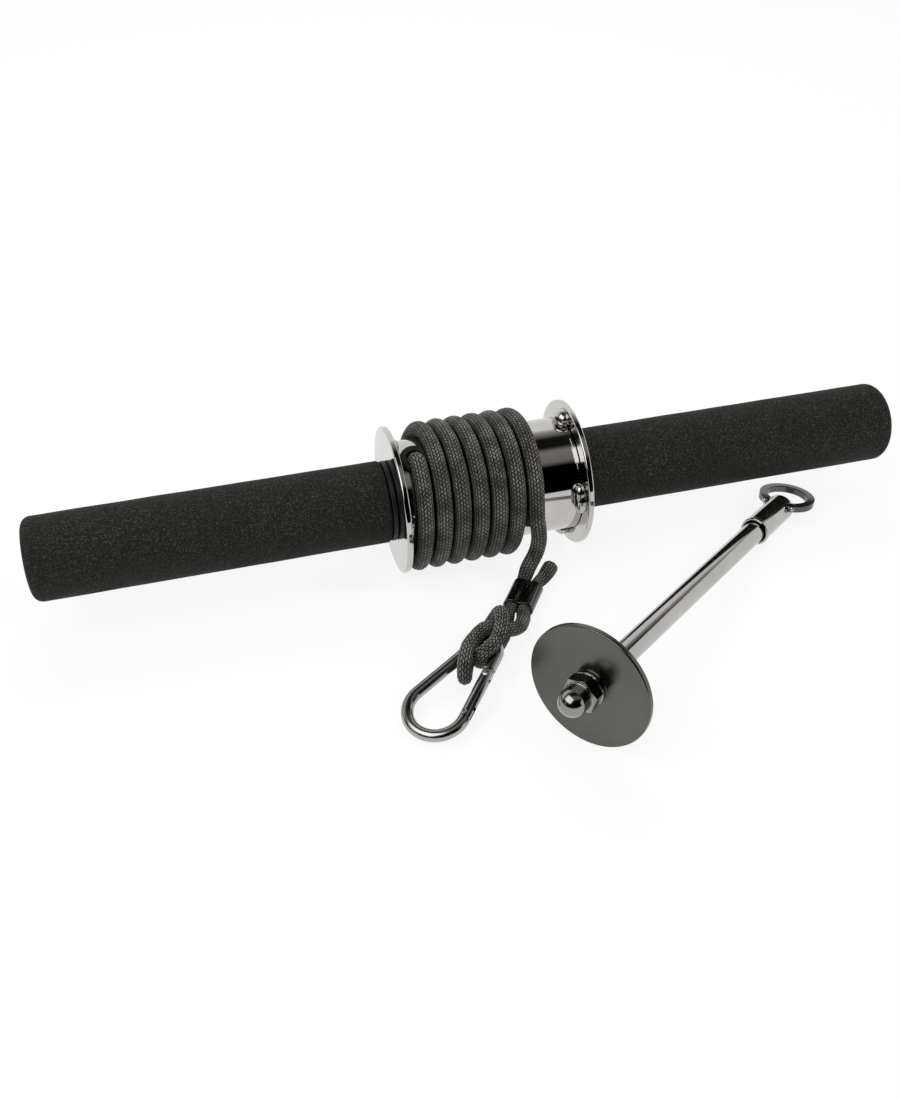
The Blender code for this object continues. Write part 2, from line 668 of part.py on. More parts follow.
def tail_points():
    frame = ferrule_frame()
    half = FERRULE_LENGTH / 2
    lobe = FERRULE_LOBE_OFFSET
    route = [(lobe, 0, GAP / 2), (lobe, 0, half), (lobe, 0, half + LEAD_IN),
             (lobe + 0.6 * TAIL_LEAN, 0, half + 0.45 * TAIL_LENGTH),
             (lobe + TAIL_LEAN, 0, half + TAIL_LENGTH)]
    return smooth_path([frame @ Vector(p) for p in route], ROPE_STEP)


def make_tail(layout, rope):
    points = tail_points()
    mouth = FERRULE_LENGTH / 2
    sizes = [(0.0, CRIMPED_ROPE), (mouth, CRIMPED_ROPE), (mouth + SWELL, ROPE_DIAMETER), (1.0, ROPE_DIAMETER)]
    return tube("rope_tail", points, ROPE_RADIUS, layout, rope, sides=3, scales=rope_scales(points, sizes))


def hitch_points():
    """The eye of the rope: two turns round the carabiner's narrow end, crossing in front."""
    frame, carabiner = ferrule_frame(), carabiner_frame()
    half = FERRULE_LENGTH / 2
    depths = (GAP / 2, half, half + LEAD_IN)
    start = [frame @ Vector((FERRULE_LOBE_OFFSET, 0, -depth)) for depth in depths]
    end = [frame @ Vector((-FERRULE_LOBE_OFFSET, 0, -depth)) for depth in reversed(depths)]
    route = [carabiner @ (Vector(p) * MM) for p in HITCH_ROUTE]
    return smooth_path(start + route + end, ROPE_STEP)


def make_hitch(layout, rope):
    points = hitch_points()
    mouth = FERRULE_LENGTH / 2
    sizes = [(0.0, CRIMPED_ROPE), (mouth, CRIMPED_ROPE), (mouth + SWELL, HITCH_ROPE),
             (-(mouth + SWELL), HITCH_ROPE), (-mouth, CRIMPED_ROPE), (-MERGE, CRIMPED_ROPE)]
    scales = rope_scales(points, sizes)
    tube("rope_hitch", points, ROPE_RADIUS, layout, rope, sides=2, scales=scales)
    return points, scales


def carabiner_frame():
    """Centre of the narrow bend: X along the carabiner towards that bend, Y towards the spine."""
    along = Vector((math.cos(CARABINER_HEADING) * math.cos(CARABINER_TILT),
                    math.sin(CARABINER_HEADING) * math.cos(CARABINER_TILT), math.sin(CARABINER_TILT)))
    side = Vector((-math.sin(CARABINER_HEADING), math.cos(CARABINER_HEADING), 0))
    height = WIRE_RADIUS + (WIDE_BEND + BEND_SPACING) * math.sin(CARABINER_TILT)
    return frame_of(along, side, along.cross(side), (CARABINER_X, CARABINER_Y, height))


def gate_line(distance):
    """A point on the gate's side, a distance past the narrow bend, and the way it runs."""
    start = Vector((NARROW_BEND * math.sin(SIDE_ANGLE), -NARROW_BEND * math.cos(SIDE_ANGLE), 0))
    run = Vector((-math.cos(SIDE_ANGLE), -math.sin(SIDE_ANGLE), 0))
    return start + run * distance, run


def wire_points():
    """Centre line of the body's wire, from the latch round the wide bend to the hinge."""
    wide = Vector((-BEND_SPACING, 0, 0))
    latch, run = gate_line(HINGE_SETBACK + GATE_LENGTH + LATCH_GAP)
    points = [latch]
    lower = -(math.pi / 2 - SIDE_ANGLE)
    for x, y in arc(wide, WIDE_BEND, lower, lower - (math.pi + 2 * SIDE_ANGLE), 26):
        if (Vector((x, y, 0)) - latch).dot(run) > 0 or y > 0:
            points.append(Vector((x, y, 0)))
    upper = math.pi / 2 - SIDE_ANGLE
    for x, y in arc((0, 0), NARROW_BEND, upper, -upper, 14):
        points.append(Vector((x, y, 0)))
    points.append(gate_line(HINGE_SETBACK - WIRE_RADIUS - GAP)[0])
    return points


def gate_frame():
    """Place of the gate's rivet: X along the gate to its tip, Y out of the carabiner, Z along the rivet."""
    hinge, run = gate_line(HINGE_SETBACK)
    up = Vector((0, 0, 1))
    return frame_of(run, up.cross(run), up, hinge)


def make_carabiner_body(holder, hinge, chrome):
    """Bent wire with a flat tongue under the gate's fork and a hooked nose that holds the latch pin."""
    wire = as_mesh(tube("carabiner_wire", wire_points(), WIRE_RADIUS, holder, sides=3, cutter=True))
    body = add_object("carabiner_body", wire.data.copy(), holder, chrome)
    tip, root = GATE_LENGTH, WIRE_RADIUS + TONGUE_ROOT
    tongue = arc((0, 0), TONGUE_REACH, -math.pi / 2, math.pi / 2, 8)
    tongue += [(-root, TONGUE_REACH), (-root, -TONGUE_REACH)]
    tongue_plate = flat_plate("hinge_tongue", [tongue], TONGUE_THICKNESS, hinge, Matrix(), cutter=True)
    hook, corner, stop = tip - NOSE_LENGTH, NOSE_CORNER, tip + LATCH_GAP / 2
    pin_x, pin_y = latch_pin_place().translation.xy
    catch = pin_x - LATCH_PIN_DIAMETER / 2 - 2 * GAP
    ledge = pin_y + LATCH_PIN_DIAMETER / 2 + GAP
    nose = [(tip + TONGUE_ROOT, NOSE_TOP), (hook + corner, NOSE_TOP), (hook, NOSE_TOP - corner),
            (hook, corner - NOSE_FOOT), (hook + corner, -NOSE_FOOT), (catch - corner, -NOSE_FOOT),
            (catch, corner - NOSE_FOOT), (catch, ledge), (stop, ledge), (stop, -NOSE_NECK),
            (tip + TONGUE_ROOT, -NOSE_NECK)]
    nose_plate = flat_plate("latch_nose", [nose[::-1]], TONGUE_THICKNESS, hinge, Matrix(), cutter=True)
    combine(body, tongue_plate, "UNION")
    combine(body, nose_plate, "UNION")
    hole = cylinder("tongue_rivet_hole", RIVET_DIAMETER / 2 + GAP, 2 * WIRE_DIAMETER, hinge, Matrix(),
                    segments=16)
    return cut(body, hole)


def fork_end():
    """How far the gate's fork reaches past the rivet."""
    return TONGUE_REACH + GAP + PLUNGER_NOSE


def make_gate(hinge, chrome):
    """A round gate, forked over the tongue and slotted over the nose, with a bore for its spring."""
    length = GATE_LENGTH + WIRE_RADIUS
    along = Matrix.Rotation(math.pi / 2, 4, "Y")
    shaft = Matrix.Translation(((GATE_LENGTH - WIRE_RADIUS) / 2, 0, 0)) @ along
    gate = cylinder("carabiner_gate", WIRE_RADIUS, length, hinge, shaft, 24, chrome, cutter=False)
    spread = math.radians(100)
    heel = arc((0, 0), HEEL_REACH, spread, math.tau - spread, 9)
    side, reach = WIRE_DIAMETER, GATE_LENGTH + WIRE_DIAMETER
    heel = [(HEEL_REACH, side)] + heel + [(HEEL_REACH, -side), (reach, -side), (reach, side)]
    keep = flat_plate("gate_heel", [heel], 2 * WIRE_DIAMETER, hinge, Matrix(), cutter=True)
    combine(gate, keep, "INTERSECT")
    slot = fork_end() + WIRE_DIAMETER
    fork_slot = block("gate_fork_slot", (slot, 2 * WIRE_DIAMETER, SLOT_WIDTH), hinge,
                      Matrix.Translation((fork_end() - slot / 2, 0, 0)))
    slot = NOSE_LENGTH + NOSE_CLEARANCE + WIRE_DIAMETER
    nose_slot = block("gate_nose_slot", (slot, 2 * WIRE_DIAMETER, SLOT_WIDTH), hinge,
                      Matrix.Translation((GATE_LENGTH + WIRE_DIAMETER - slot / 2, 0, 0)))
    rivet_hole = cylinder("gate_rivet_hole", RIVET_DIAMETER / 2 + GAP, 2 * WIRE_DIAMETER, hinge, Matrix(),
                          segments=16)
    pin_hole = cylinder("gate_pin_hole", LATCH_PIN_DIAMETER / 2 + GAP, 2 * WIRE_DIAMETER, hinge,
                        latch_pin_place(), segments=12)
    depth = SPRING_LENGTH + PLUNGER_LENGTH - PLUNGER_NOSE + 2 * GAP
    bore = cylinder("gate_spring_bore", SPRING_DIAMETER / 2 + GAP, depth + PAST, hinge,
                    Matrix.Translation((fork_end() + (depth - PAST) / 2, 0, 0)) @ along, segments=16)
    return cut(gate, fork_slot, nose_slot, rivet_hole, pin_hole, bore)


def latch_pin_place():
    return Matrix.Translation((GATE_LENGTH - LATCH_PIN_SETBACK, -LATCH_PIN_DROP, 0))


def make_gate_fittings(hinge, chrome, steel):
    """The hinge rivet, the latch pin, and the spring with its plunger inside the gate."""
    half = WIRE_RADIUS + RIVET_STANDOFF
    shank, head = RIVET_DIAMETER / 2, RIVET_HEAD_DIAMETER / 2
    top = half + RIVET_HEAD
    profile = [(0, top), (head * 0.6, top), (head, half + GAP), (shank, half + GAP), (shank, -half - GAP),
               (head, -half - GAP), (head * 0.6, -top), (0, -top)]
    turned("hinge_rivet", profile, hinge, chrome, steps=16)
    pin_length = 2 * math.sqrt(WIRE_RADIUS ** 2 - (LATCH_PIN_DROP + LATCH_PIN_DIAMETER / 2) ** 2) - 2 * GAP
    cylinder("latch_pin", LATCH_PIN_DIAMETER / 2, pin_length, hinge, latch_pin_place(), 12, steel,
             cutter=False)
    start = fork_end() - PLUNGER_NOSE
    plunger = Matrix.Translation((start + PLUNGER_LENGTH / 2, 0, 0)) @ Matrix.Rotation(math.pi / 2, 4, "Y")
    cylinder("gate_plunger", SPRING_DIAMETER / 2, PLUNGER_LENGTH, hinge, plunger, 16, steel, cutter=False)
    points = []
    radius = (SPRING_DIAMETER - SPRING_WIRE) / 2
    foot = start + PLUNGER_LENGTH + GAP + SPRING_WIRE / 2
    rise = SPRING_LENGTH - SPRING_WIRE
    count = SPRING_COILS * 8
    for i in range(count + 1):
        turn = math.tau * SPRING_COILS * i / count
        points.append(Vector((foot + rise * i / count, radius * math.cos(turn), radius * math.sin(turn))))
    tube("gate_spring", points, SPRING_WIRE / 2, hinge, steel, sides=0)


def pin_frame():
    """Centre of the disc's front face: Z along the rod, X down to the table."""
    along = Vector((math.cos(PIN_HEADING) * math.cos(PIN_SLOPE),
                    math.sin(PIN_HEADING) * math.cos(PIN_SLOPE), -math.sin(PIN_SLOPE)))
    side = Vector((-math.sin(PIN_HEADING), math.cos(PIN_HEADING), 0))
    rim, edge = DISC_DIAMETER / 2 - DISC_EDGE, DISC_THICKNESS - DISC_EDGE
    height = DISC_EDGE + rim * math.cos(PIN_SLOPE) + edge * math.sin(PIN_SLOPE)
    return frame_of(side.cross(along), side, along, (PIN_X, PIN_Y, height))


def make_disc(pin, steel):
    """A round plate with rolled edges, spot-faced at the rear where the rod's shoulder bears on it."""
    radius, bore = DISC_DIAMETER / 2, THREAD_DIAMETER / 2 + GAP
    seat = DISC_THICKNESS - DISC_SEAT_DEPTH
    profile = arc((radius - DISC_EDGE, DISC_THICKNESS - DISC_EDGE), DISC_EDGE, math.pi / 2, 0, 2)
    profile += arc((radius - DISC_EDGE, DISC_EDGE), DISC_EDGE, 0, -math.pi / 2, 2)
    profile += [(bore, 0), (bore, seat), (DISC_SEAT / 2, seat), (DISC_SEAT / 2, DISC_THICKNESS)]
    return turned("weight_disc", profile, pin, steel, steps=64, closed=True)


def make_rod(pin, chrome):
    """A round rod, necked to a thread for the disc and grooved for the ring that holds the sleeve."""
    radius, thread = ROD_DIAMETER / 2, THREAD_DIAMETER / 2
    foot = DISC_THICKNESS - DISC_SEAT_DEPTH + GAP
    tip = NUT_BASE - THREAD_REACH
    groove = ROD_END - RING_SETBACK
    half = RING_WIRE / 2 + GAP
    floor = radius - RING_WIRE / 2 - GAP
    chamfer = ROD_CHAMFER
    profile = [(0, ROD_END), (radius - chamfer, ROD_END), (radius, ROD_END - chamfer),
               (radius, groove + half), (floor, groove + half), (floor, groove - half),
               (radius, groove - half), (radius, foot + chamfer / 2), (radius - chamfer / 2, foot), (thread, foot),
               (thread, tip + chamfer), (thread - chamfer, tip), (0, tip)]
    return turned("pin_rod", profile, pin, chrome, steps=32)


def make_lock_washer(pin, chrome):
    """The split washer between the nut and the disc."""
    high = -GAP
    low = high - LOCK_WASHER_THICKNESS
    outer, bore, edge = LOCK_WASHER_DIAMETER / 2, THREAD_DIAMETER / 2 + GAP, LOCK_WASHER_EDGE
    profile = [(outer - edge, high), (outer, high - edge), (outer, low + edge), (outer - edge, low),
               (bore, low), (bore, high)]
    washer = turned("lock_washer", profile, pin, chrome, steps=32, closed=True)
    place = (Matrix.Rotation(LOCK_WASHER_ROLL, 4, "Z") @ Matrix.Translation((outer, 0, (low + high) / 2))
             @ Matrix.Rotation(LOCK_WASHER_SLANT, 4, "X"))
    size = (LOCK_WASHER_DIAMETER, LOCK_WASHER_SLIT, 3 * LOCK_WASHER_THICKNESS)
    slit = block("lock_washer_slit", size, pin, place)
    return cut(washer, slit)


def make_nut(pin, chrome):
    """A domed hexagon nut with chamfered corners and a blind threaded bore."""
    corner = NUT_WIDTH / math.sqrt(3)
    middle = NUT_BASE - NUT_HEX_HEIGHT / 2
    place = Matrix.Translation((0, 0, middle)) @ Matrix.Rotation(NUT_ROLL, 4, "Z")
    nut = cylinder("acorn_nut", corner, NUT_HEX_HEIGHT, pin, place, 6, chrome, cutter=False)
    face, reach = NUT_WIDTH / 2 - NUT_FACE_INSET, corner + GAP
    low, high = NUT_BASE - NUT_HEX_HEIGHT, NUT_BASE + GAP
    profile = [(0, high), (reach, high), (reach, low + NUT_CHAMFER), (face, low - SKIM), (0, low - SKIM)]
    chamfer = turned("nut_chamfer", profile, pin, steps=24, cutter=True)
    combine(nut, chamfer, "INTERSECT")
    dome = NUT_DOME_DIAMETER / 2
    centre = NUT_BASE - NUT_HEIGHT + dome
    profile = [(0, middle), (dome, middle)] + arc((0, centre), dome, 0, -math.pi / 2, 6)
    cap = turned("nut_cap", profile, pin, steps=32, cutter=True)
    combine(nut, cap, "UNION")
    depth = THREAD_REACH + GAP
    bore = cylinder("nut_bore", THREAD_DIAMETER / 2 + GAP, depth + PAST, pin,
                    Matrix.Translation((0, 0, NUT_BASE + (PAST - depth) / 2)), segments=24)
    return cut(nut, bore)


def make_sleeve(eye, chrome):
    """The swivel sleeve: a rolled lip at its mouth, a groove for the ring and a rounded closed end."""
    radius, bore = SLEEVE_DIAMETER / 2, SLEEVE_DIAMETER / 2 - SLEEVE_WALL
    start, end = SLEEVE_START, SLEEVE_END
    lip = SLEEVE_LIP_DIAMETER / 2
    groove = ROD_END - RING_SETBACK
    half = RING_WIRE / 2 + GAP
    deep, edge, mouth = bore + SLEEVE_GROOVE, SLEEVE_LIP_EDGE, SLEEVE_MOUTH
    nose = SLEEVE_NOSE
    profile = [(0, end), (radius - nose, end)] + arc((radius - nose, end - nose), nose, math.pi / 2, 0, 5)[1:]
    profile += [(radius, start + SLEEVE_LIP_WIDTH + SLEEVE_LIP_SLOPE), (lip, start + SLEEVE_LIP_WIDTH),
                (lip, start + edge), (lip - edge, start), (bore + mouth, start), (bore, start + mouth),
                (bore, groove - half), (deep, groove - half), (deep, groove + half), (bore, groove + half),
                (bore, end - SLEEVE_END_WALL), (0, end - SLEEVE_END_WALL)]
    return turned("swivel_sleeve", profile, eye, chrome, steps=32)


def make_retaining_ring(pin, steel):
    """A split wire ring, half in the rod's groove and half in the sleeve's."""
    centre = ROD_END - RING_SETBACK
    bend = arc((0, 0), ROD_DIAMETER / 2 + SKIM, RING_OPENING / 2, math.tau - RING_OPENING / 2, 22)
    points = [Vector((x, y, centre)) for x, y in bend]
    tube("retaining_ring", points, RING_WIRE / 2, pin, steel, sides=1)


def make_eye(eye, chrome):
    """A flat ring plate, cut out where the sleeve stands in it, with a weld bead at each leg."""
    outer = EYE_DIAMETER / 2
    clear = SLEEVE_DIAMETER / 2 + GAP
    radii = (outer, outer - EYE_WIDTH)
    outlines = [arc((EYE_CENTRE, 0), radius, 0, math.tau, EYE_STEPS)[:-1] for radius in radii]
    tilt = (Matrix.Translation((-EYE_RISE, 0, EYE_CENTRE)) @ Matrix.Rotation(EYE_PITCH, 4, "Y")
            @ Matrix.Translation((0, 0, -EYE_CENTRE)))
    place = tilt @ Matrix.Rotation(-math.pi / 2, 4, "Y")
    ring = flat_plate("eye_ring", outlines, EYE_THICKNESS, eye, place, chrome, edge=EYE_EDGE)
    leg = EYE_CENTRE - math.sqrt(outer ** 2 - clear ** 2)
    for number, side in enumerate((-1, 1)):
        spot = tilt @ Matrix.Translation((0, side * (clear + GAP), leg + 0.4 * EYE_BEAD_LENGTH))
        place = spot @ Matrix.Rotation(math.pi / 2, 4, "Y")
        combine(ring, weld_bead(f"eye_bead_{number}", eye, place, EYE_BEAD_LENGTH, EYE_BEAD_RISE), "UNION")
    skin = cylinder("sleeve_clearance", clear, SLEEVE_LENGTH + 2 * GAP, eye,
                    Matrix.Translation((0, 0, SLEEVE_START + SLEEVE_LENGTH / 2)), segments=40)
    return cut(ring, skin)


def bounding_box(names):
    """Lowest and highest corners of the named objects, as built."""
    bpy.context.view_layer.update()
    graph = bpy.context.evaluated_depsgraph_get()
    low, high = Vector((math.inf,) * 3), Vector((-math.inf,) * 3)
    for name in names:
        solid = bpy.data.objects[name].evaluated_get(graph)
        mesh = solid.to_mesh()
        for vert in mesh.vertices:
            place = solid.matrix_world @ vert.co
            low = Vector(map(min, low, place))
            high = Vector(map(max, high, place))
        solid.to_mesh_clear()
    return low, high


def show_point(label, place, matrix=None):
    spot = (matrix @ Vector(place)) if matrix else Vector(place)
    print(label, [round(value, 6) for value in spot])


def build():
    foam = make_material("foam", (0.03, 0.03, 0.032), 0.95, 0.0)
    rubber = make_material("rubber", (0.02, 0.02, 0.02), 0.6, 0.0)
    chrome = make_material("black_chrome", (0.22, 0.215, 0.21), 0.12, 1.0)
    disc_steel = make_material("satin_black_chrome", (0.16, 0.16, 0.155), 0.3, 1.0)
    steel = make_material("steel", (0.55, 0.55, 0.55), 0.35, 1.0)
    rope = make_material("rope", (0.06, 0.058, 0.055), 0.9, 0.0)

    layout = make_empty("layout", None)
    axis = frame_of((0, 0, -1), (0, 1, 0), (1, 0, 0)).to_3x3()
    roller = make_empty("roller_axis", layout, (0, 0, FLANGE_RADIUS), axis)
    make_core(roller, steel)
    for side in ("left", "right"):
        make_grip(side, roller, foam)
        make_spacer(side, roller, rubber)
        make_flange(side, roller, chrome)
    make_drum(roller, chrome)

    coil, leave = coil_points()
    tube("rope_winding", coil, ROPE_RADIUS, layout, rope, sides=1)
    make_grommet(roller, layout, rubber, coil)
    make_knot(roller, rope)
    drop = drop_points(coil, leave)
    make_drop(layout, rope, drop)
    make_ferrule(layout, chrome)
    make_tail(layout, rope)
    hitch_path, hitch_scales = make_hitch(layout, rope)

    carabiner = make_empty("carabiner_frame", layout)
    carabiner.matrix_local = carabiner_frame()
    hinge = make_empty("gate_hinge", carabiner)
    hinge.matrix_local = gate_frame()
    make_carabiner_body(carabiner, hinge, chrome)
    make_gate(hinge, chrome)
    make_gate_fittings(hinge, chrome, steel)

    pin = make_empty("pin_axis", layout)
    pin.matrix_local = pin_frame()
    eye = make_empty("eye_swivel", pin, rotation=Matrix.Rotation(-EYE_ROLL, 3, "Z"))
    make_disc(pin, disc_steel)
    make_rod(pin, chrome)
    make_lock_washer(pin, chrome)
    make_nut(pin, chrome)
    make_retaining_ring(pin, steel)
    make_sleeve(eye, chrome)
    make_eye(eye, chrome)

    firm = ["core_tube", "drum", "weight_disc", "acorn_nut", "eye_ring"]
    firm += [side + piece for side in ("left", "right") for piece in ("_grip", "_flange")]
    low, high = bounding_box(firm)
    layout.location = (-(low.x + high.x) / 2, -(low.y + high.y) / 2, 0)
    bpy.context.view_layer.update()

    print("least gap of the winding to itself", round(least_self_gap(coil, ROPE_DIAMETER) / MM, 2), "mm")
    hitch_gap = least_self_gap(hitch_path, ROPE_DIAMETER, hitch_scales)
    print("least gap of the hitch to itself", round(hitch_gap / MM, 2), "mm")
    lengths = [path_length(points) for points in (coil, drop, hitch_path, tail_points())]
    print("rope lengths: winding, drop, hitch, tail", [round(length / MM) for length in lengths], "mm")
    show_point("shift of the layout", layout.location)
    show_point("gate hinge", (0, 0, 0), hinge.matrix_world)
    show_point("gate hinge axis", hinge.matrix_world.to_3x3() @ Vector((0, 0, 1)))
    show_point("pin axis point", (0, 0, SLEEVE_START), pin.matrix_world)
    show_point("pin axis", pin.matrix_world.to_3x3() @ Vector((0, 0, 1)))


clear_scene()
PARTS = new_collection("wrist_trainer")
CUTTERS = new_collection("cutters")
build()
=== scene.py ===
from math import asin, atan2, cos, hypot, pi, radians, sin, sqrt, tau

import bpy
import numpy as np
from mathutils import Matrix, Vector, noise


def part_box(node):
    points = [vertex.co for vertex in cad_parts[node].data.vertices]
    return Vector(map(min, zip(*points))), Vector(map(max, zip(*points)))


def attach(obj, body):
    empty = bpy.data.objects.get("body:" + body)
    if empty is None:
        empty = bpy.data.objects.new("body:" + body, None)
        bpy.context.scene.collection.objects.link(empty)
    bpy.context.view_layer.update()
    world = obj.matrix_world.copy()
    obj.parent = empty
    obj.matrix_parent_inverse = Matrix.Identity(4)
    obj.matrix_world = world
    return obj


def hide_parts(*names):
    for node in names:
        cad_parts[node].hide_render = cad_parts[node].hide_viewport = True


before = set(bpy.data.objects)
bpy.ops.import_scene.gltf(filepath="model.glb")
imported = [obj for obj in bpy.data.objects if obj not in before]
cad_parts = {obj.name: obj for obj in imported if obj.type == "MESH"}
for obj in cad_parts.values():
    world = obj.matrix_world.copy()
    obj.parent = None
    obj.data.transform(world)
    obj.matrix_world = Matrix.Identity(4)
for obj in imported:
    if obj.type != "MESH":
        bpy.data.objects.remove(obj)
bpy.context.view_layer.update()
bpy.ops.object.select_all(action="DESELECT")

MM = 0.001
GAP = 0.3 * MM
MERGE = 0.001 * MM
HOLD = 0.12 * MM
SHARP = radians(32)
QUARTER = pi / 2
SIGNS = {"left": -1, "right": 1}

# Camera
CAMERA_PLACE = (-0.13834, -0.38959, 0.39412)
CAMERA_FORWARD = (0.19983, 0.73586, -0.64698)
CAMERA_RIGHT = (0.965, -0.262, 0.0)
CAMERA_LENS = 39.27
CAMERA_SENSOR = 36
CAMERA_CLIP = 0.01

# Stage, in metres: the grey bands of the tent are shares of the way from its near side to its far one
FLOOR_SIZE = 12.0
FLOOR_SHADE = (0.86, 0.86, 0.86, 1)
FLOOR_GLOW = 0.86
ROOM_LIGHT = 0.55
TENT_WIDTH = 5.0
TENT_NEAR, TENT_FAR = -2.5, 1.7
TENT_FOOT, TENT_TOP = 0.03, 1.5
TENT_BANDS = ((0.0, 0.0), (0.34, 0.0), (0.42, 0.22), (0.56, 0.26), (0.62, 0.01), (0.76, 0.01), (0.90, 0.38),
              (1.0, 0.80))
LAMPS = (  # name, place, size, power in watts, seen in the plating
    ("left_softbox", (-0.75, -0.25, 1.05), (1.3, 1.0), 9, True),
    ("right_softbox", (0.8, -0.5, 0.9), (0.35, 0.5), 4, False),
    ("back_softbox", (0.1, 0.9, 1.0), (0.9, 0.3), 6, False),
)

# Roller
ROLLER_Y = sum(corner.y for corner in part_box("drum")) / 2
GRIP_RADIUS = 20.0 * MM
GRIP_LENGTH = 168.0 * MM
GRIP_END_WALL = 7.0 * MM
GRIP_END_ROUNDING = 4.5 * MM
GRIP_INNER_ROUNDING = 2.0 * MM
GRIP_CROWN = 0.8 * MM
FOAM_UNEVENNESS = 0.12 * MM
FOAM_WAVES = 55
TUBE_RADIUS = 12.7 * MM
SPACER_RADIUS = 19.5 * MM
SPACER_THICKNESS = 2.3 * MM
SPACER_EDGE = 0.5 * MM
FLANGE_RADIUS = 36.0 * MM
FLANGE_THICKNESS = 3.0 * MM
FLANGE_EDGE = 0.9 * MM
FLANGE_RIM = 3.2 * MM
FLANGE_DISH = 0.08 * MM
DRUM_RADIUS = 28.0 * MM
DRUM_WALL = 2.0 * MM
DRUM_LENGTH = 85.1 * MM
FLANGE_INNER = DRUM_LENGTH / 2 + GAP
FLANGE_OUTER = FLANGE_INNER + FLANGE_THICKNESS
GRIP_START = FLANGE_OUTER + 2 * GAP + SPACER_THICKNESS
WELD_COUNT = 4
WELD_PHASE = radians(-10)
WELD_SIZES = {"left": (10.5 * MM, 4.3 * MM), "right": (15.0 * MM, 8.4 * MM)}
WELD_GRAIN = 0.28 * MM
WELD_SMOOTHING = 24

# Rope
ROPE_DIAMETER = 7.6 * MM
ROPE_RADIUS = ROPE_DIAMETER / 2
ROPE_PITCH = 8.95 * MM
ROPE_SWAY = 3.2 * MM
ROPE_SWAY_PEAK = 0.95
ROPE_TURNS = 6.147
ROPE_START_ANGLE = radians(75)
ROPE_EXIT_BEND = 6.0 * MM
ROPE_START = 8.1 * MM - FLANGE_INNER
COIL_RADIUS = DRUM_RADIUS + GAP + ROPE_RADIUS
CRIMPED_ROPE = 6.0 * MM
HITCH_ROPE = 6.6 * MM
ROPE_STEP = 1.4 * GAP
LEAD_IN = 2.5 * MM
SWELL = 10.0 * MM
TAIL_LENGTH = 18.0 * MM
TAIL_LEAN = 2.8 * MM
RING_SPACING = 0.75 * MM
RING_SIDES = 40
PLAITS = 8
PLAIT_ROW = 1.85 * MM
PLAIT_SLANT = 0.8
PLAIT_RELIEF = 0.3 * MM
PLAIT_EDGE = 0.4
PLAIT_MEAN = 0.6
PLAIT_SINK = 0.05 * MM
END_DENT = 0.1 * MM
CUT_END = 0.7 * MM
HOLE_RADIUS = 6.5 * MM
LIP_RADIUS = 7.4 * MM
LIP_RISE = 2.2 * MM
INNER_LIP = 1.9 * MM
KNOT_RADIUS = 7.25 * MM
KNOT_WRAPS = 3
KNOT_WAVE = 0.35 * MM

# Ferrule
FERRULE_LENGTH = 16.7 * MM
FERRULE_LOBE = 4.2 * MM
FERRULE_WALL = 0.85 * MM
FERRULE_WAIST = 0.7 * MM
FERRULE_EDGE = 0.3 * MM
FERRULE_OFFSET = 3.3 * MM
FERRULE_PLACE = (6.85 * MM, -50.3 * MM, 4.35 * MM)
FERRULE_HEADING = radians(54.5)

# Carabiner
WIRE_RADIUS = 2.8 * MM
CARABINER_LENGTH = 60.0 * MM
WIDE_END, NARROW_END = 15.8 * MM, 8.9 * MM
WIDE_BEND = WIDE_END - WIRE_RADIUS
NARROW_BEND = NARROW_END - WIRE_RADIUS
BEND_SPACING = CARABINER_LENGTH - WIDE_END - NARROW_END
SIDE_ANGLE = asin((WIDE_BEND - NARROW_BEND) / BEND_SPACING)
CARABINER_XY = (-24.4 * MM, -89.4 * MM)
CARABINER_HEADING = radians(37.55)
CARABINER_TILT = radians(12)
HINGE_SETBACK = 10.9 * MM
GATE_LENGTH = 22.9 * MM
TONGUE = 2.2 * MM
TONGUE_REACH = 2.45 * MM
TONGUE_ROOT = 2.0 * MM
SLOT = TONGUE + 0.5 * MM
LATCH_GAP = 0.5 * MM
LATCH_PIN = Vector((GATE_LENGTH - 1.5 * MM, -0.6 * MM, 0))
LATCH_PIN_RADIUS = 0.8 * MM
NOSE_LENGTH = 4.9 * MM
NOSE_CLEARANCE = 0.8 * MM
HEEL_REACH = 2.7 * MM
FORK_END = TONGUE_REACH + GAP + 0.6 * MM
BORE_DEPTH = 9.4 * MM
BORE_RADIUS = 1.6 * MM
GATE_EDGE = 0.16 * MM
RIVET_HOLE = 1.3 * MM
THROUGH = 12 * MM

# Loading pin
DISC_RADIUS = 29.0 * MM
DISC_THICKNESS = 3.0 * MM
DISC_EDGE = 0.8 * MM
DISC_SEAT_RADIUS = 6.5 * MM
DISC_SEAT_DEPTH = 0.2 * MM
ROD_RADIUS = 5.5 * MM
THREAD_RADIUS = 4.75 * MM
THREAD_REACH = 9.0 * MM
WASHER_RADIUS = 8.0 * MM
WASHER_THICKNESS = 1.4 * MM
WASHER_EDGE = 0.3 * MM
NUT_WIDTH = 14.8 * MM
NUT_HEX = 5.4 * MM
NUT_HEIGHT = 16.4 * MM
DOME_RADIUS = 6.35 * MM
NUT_BASE = -(WASHER_THICKNESS + 2 * GAP)
NUT_TURN = radians(40)
NUT_EDGE = 0.25 * MM
NUT_FILLET = 0.7 * MM
SLIT_TURN = radians(15)
SLIT_LEAN = radians(35)
SLIT_SIZE = (16 * MM, 1.2 * MM, 4.2 * MM)
SLEEVE_START = 157.7 * MM
SLEEVE_LENGTH = 33.0 * MM
SLEEVE_END = SLEEVE_START + SLEEVE_LENGTH
SLEEVE_END_WALL = 3.0 * MM
SLEEVE_RADIUS = 7.0 * MM
SLEEVE_WALL = 0.9 * MM
SLEEVE_NOSE = 2.2 * MM
SLEEVE_LIP = 7.25 * MM
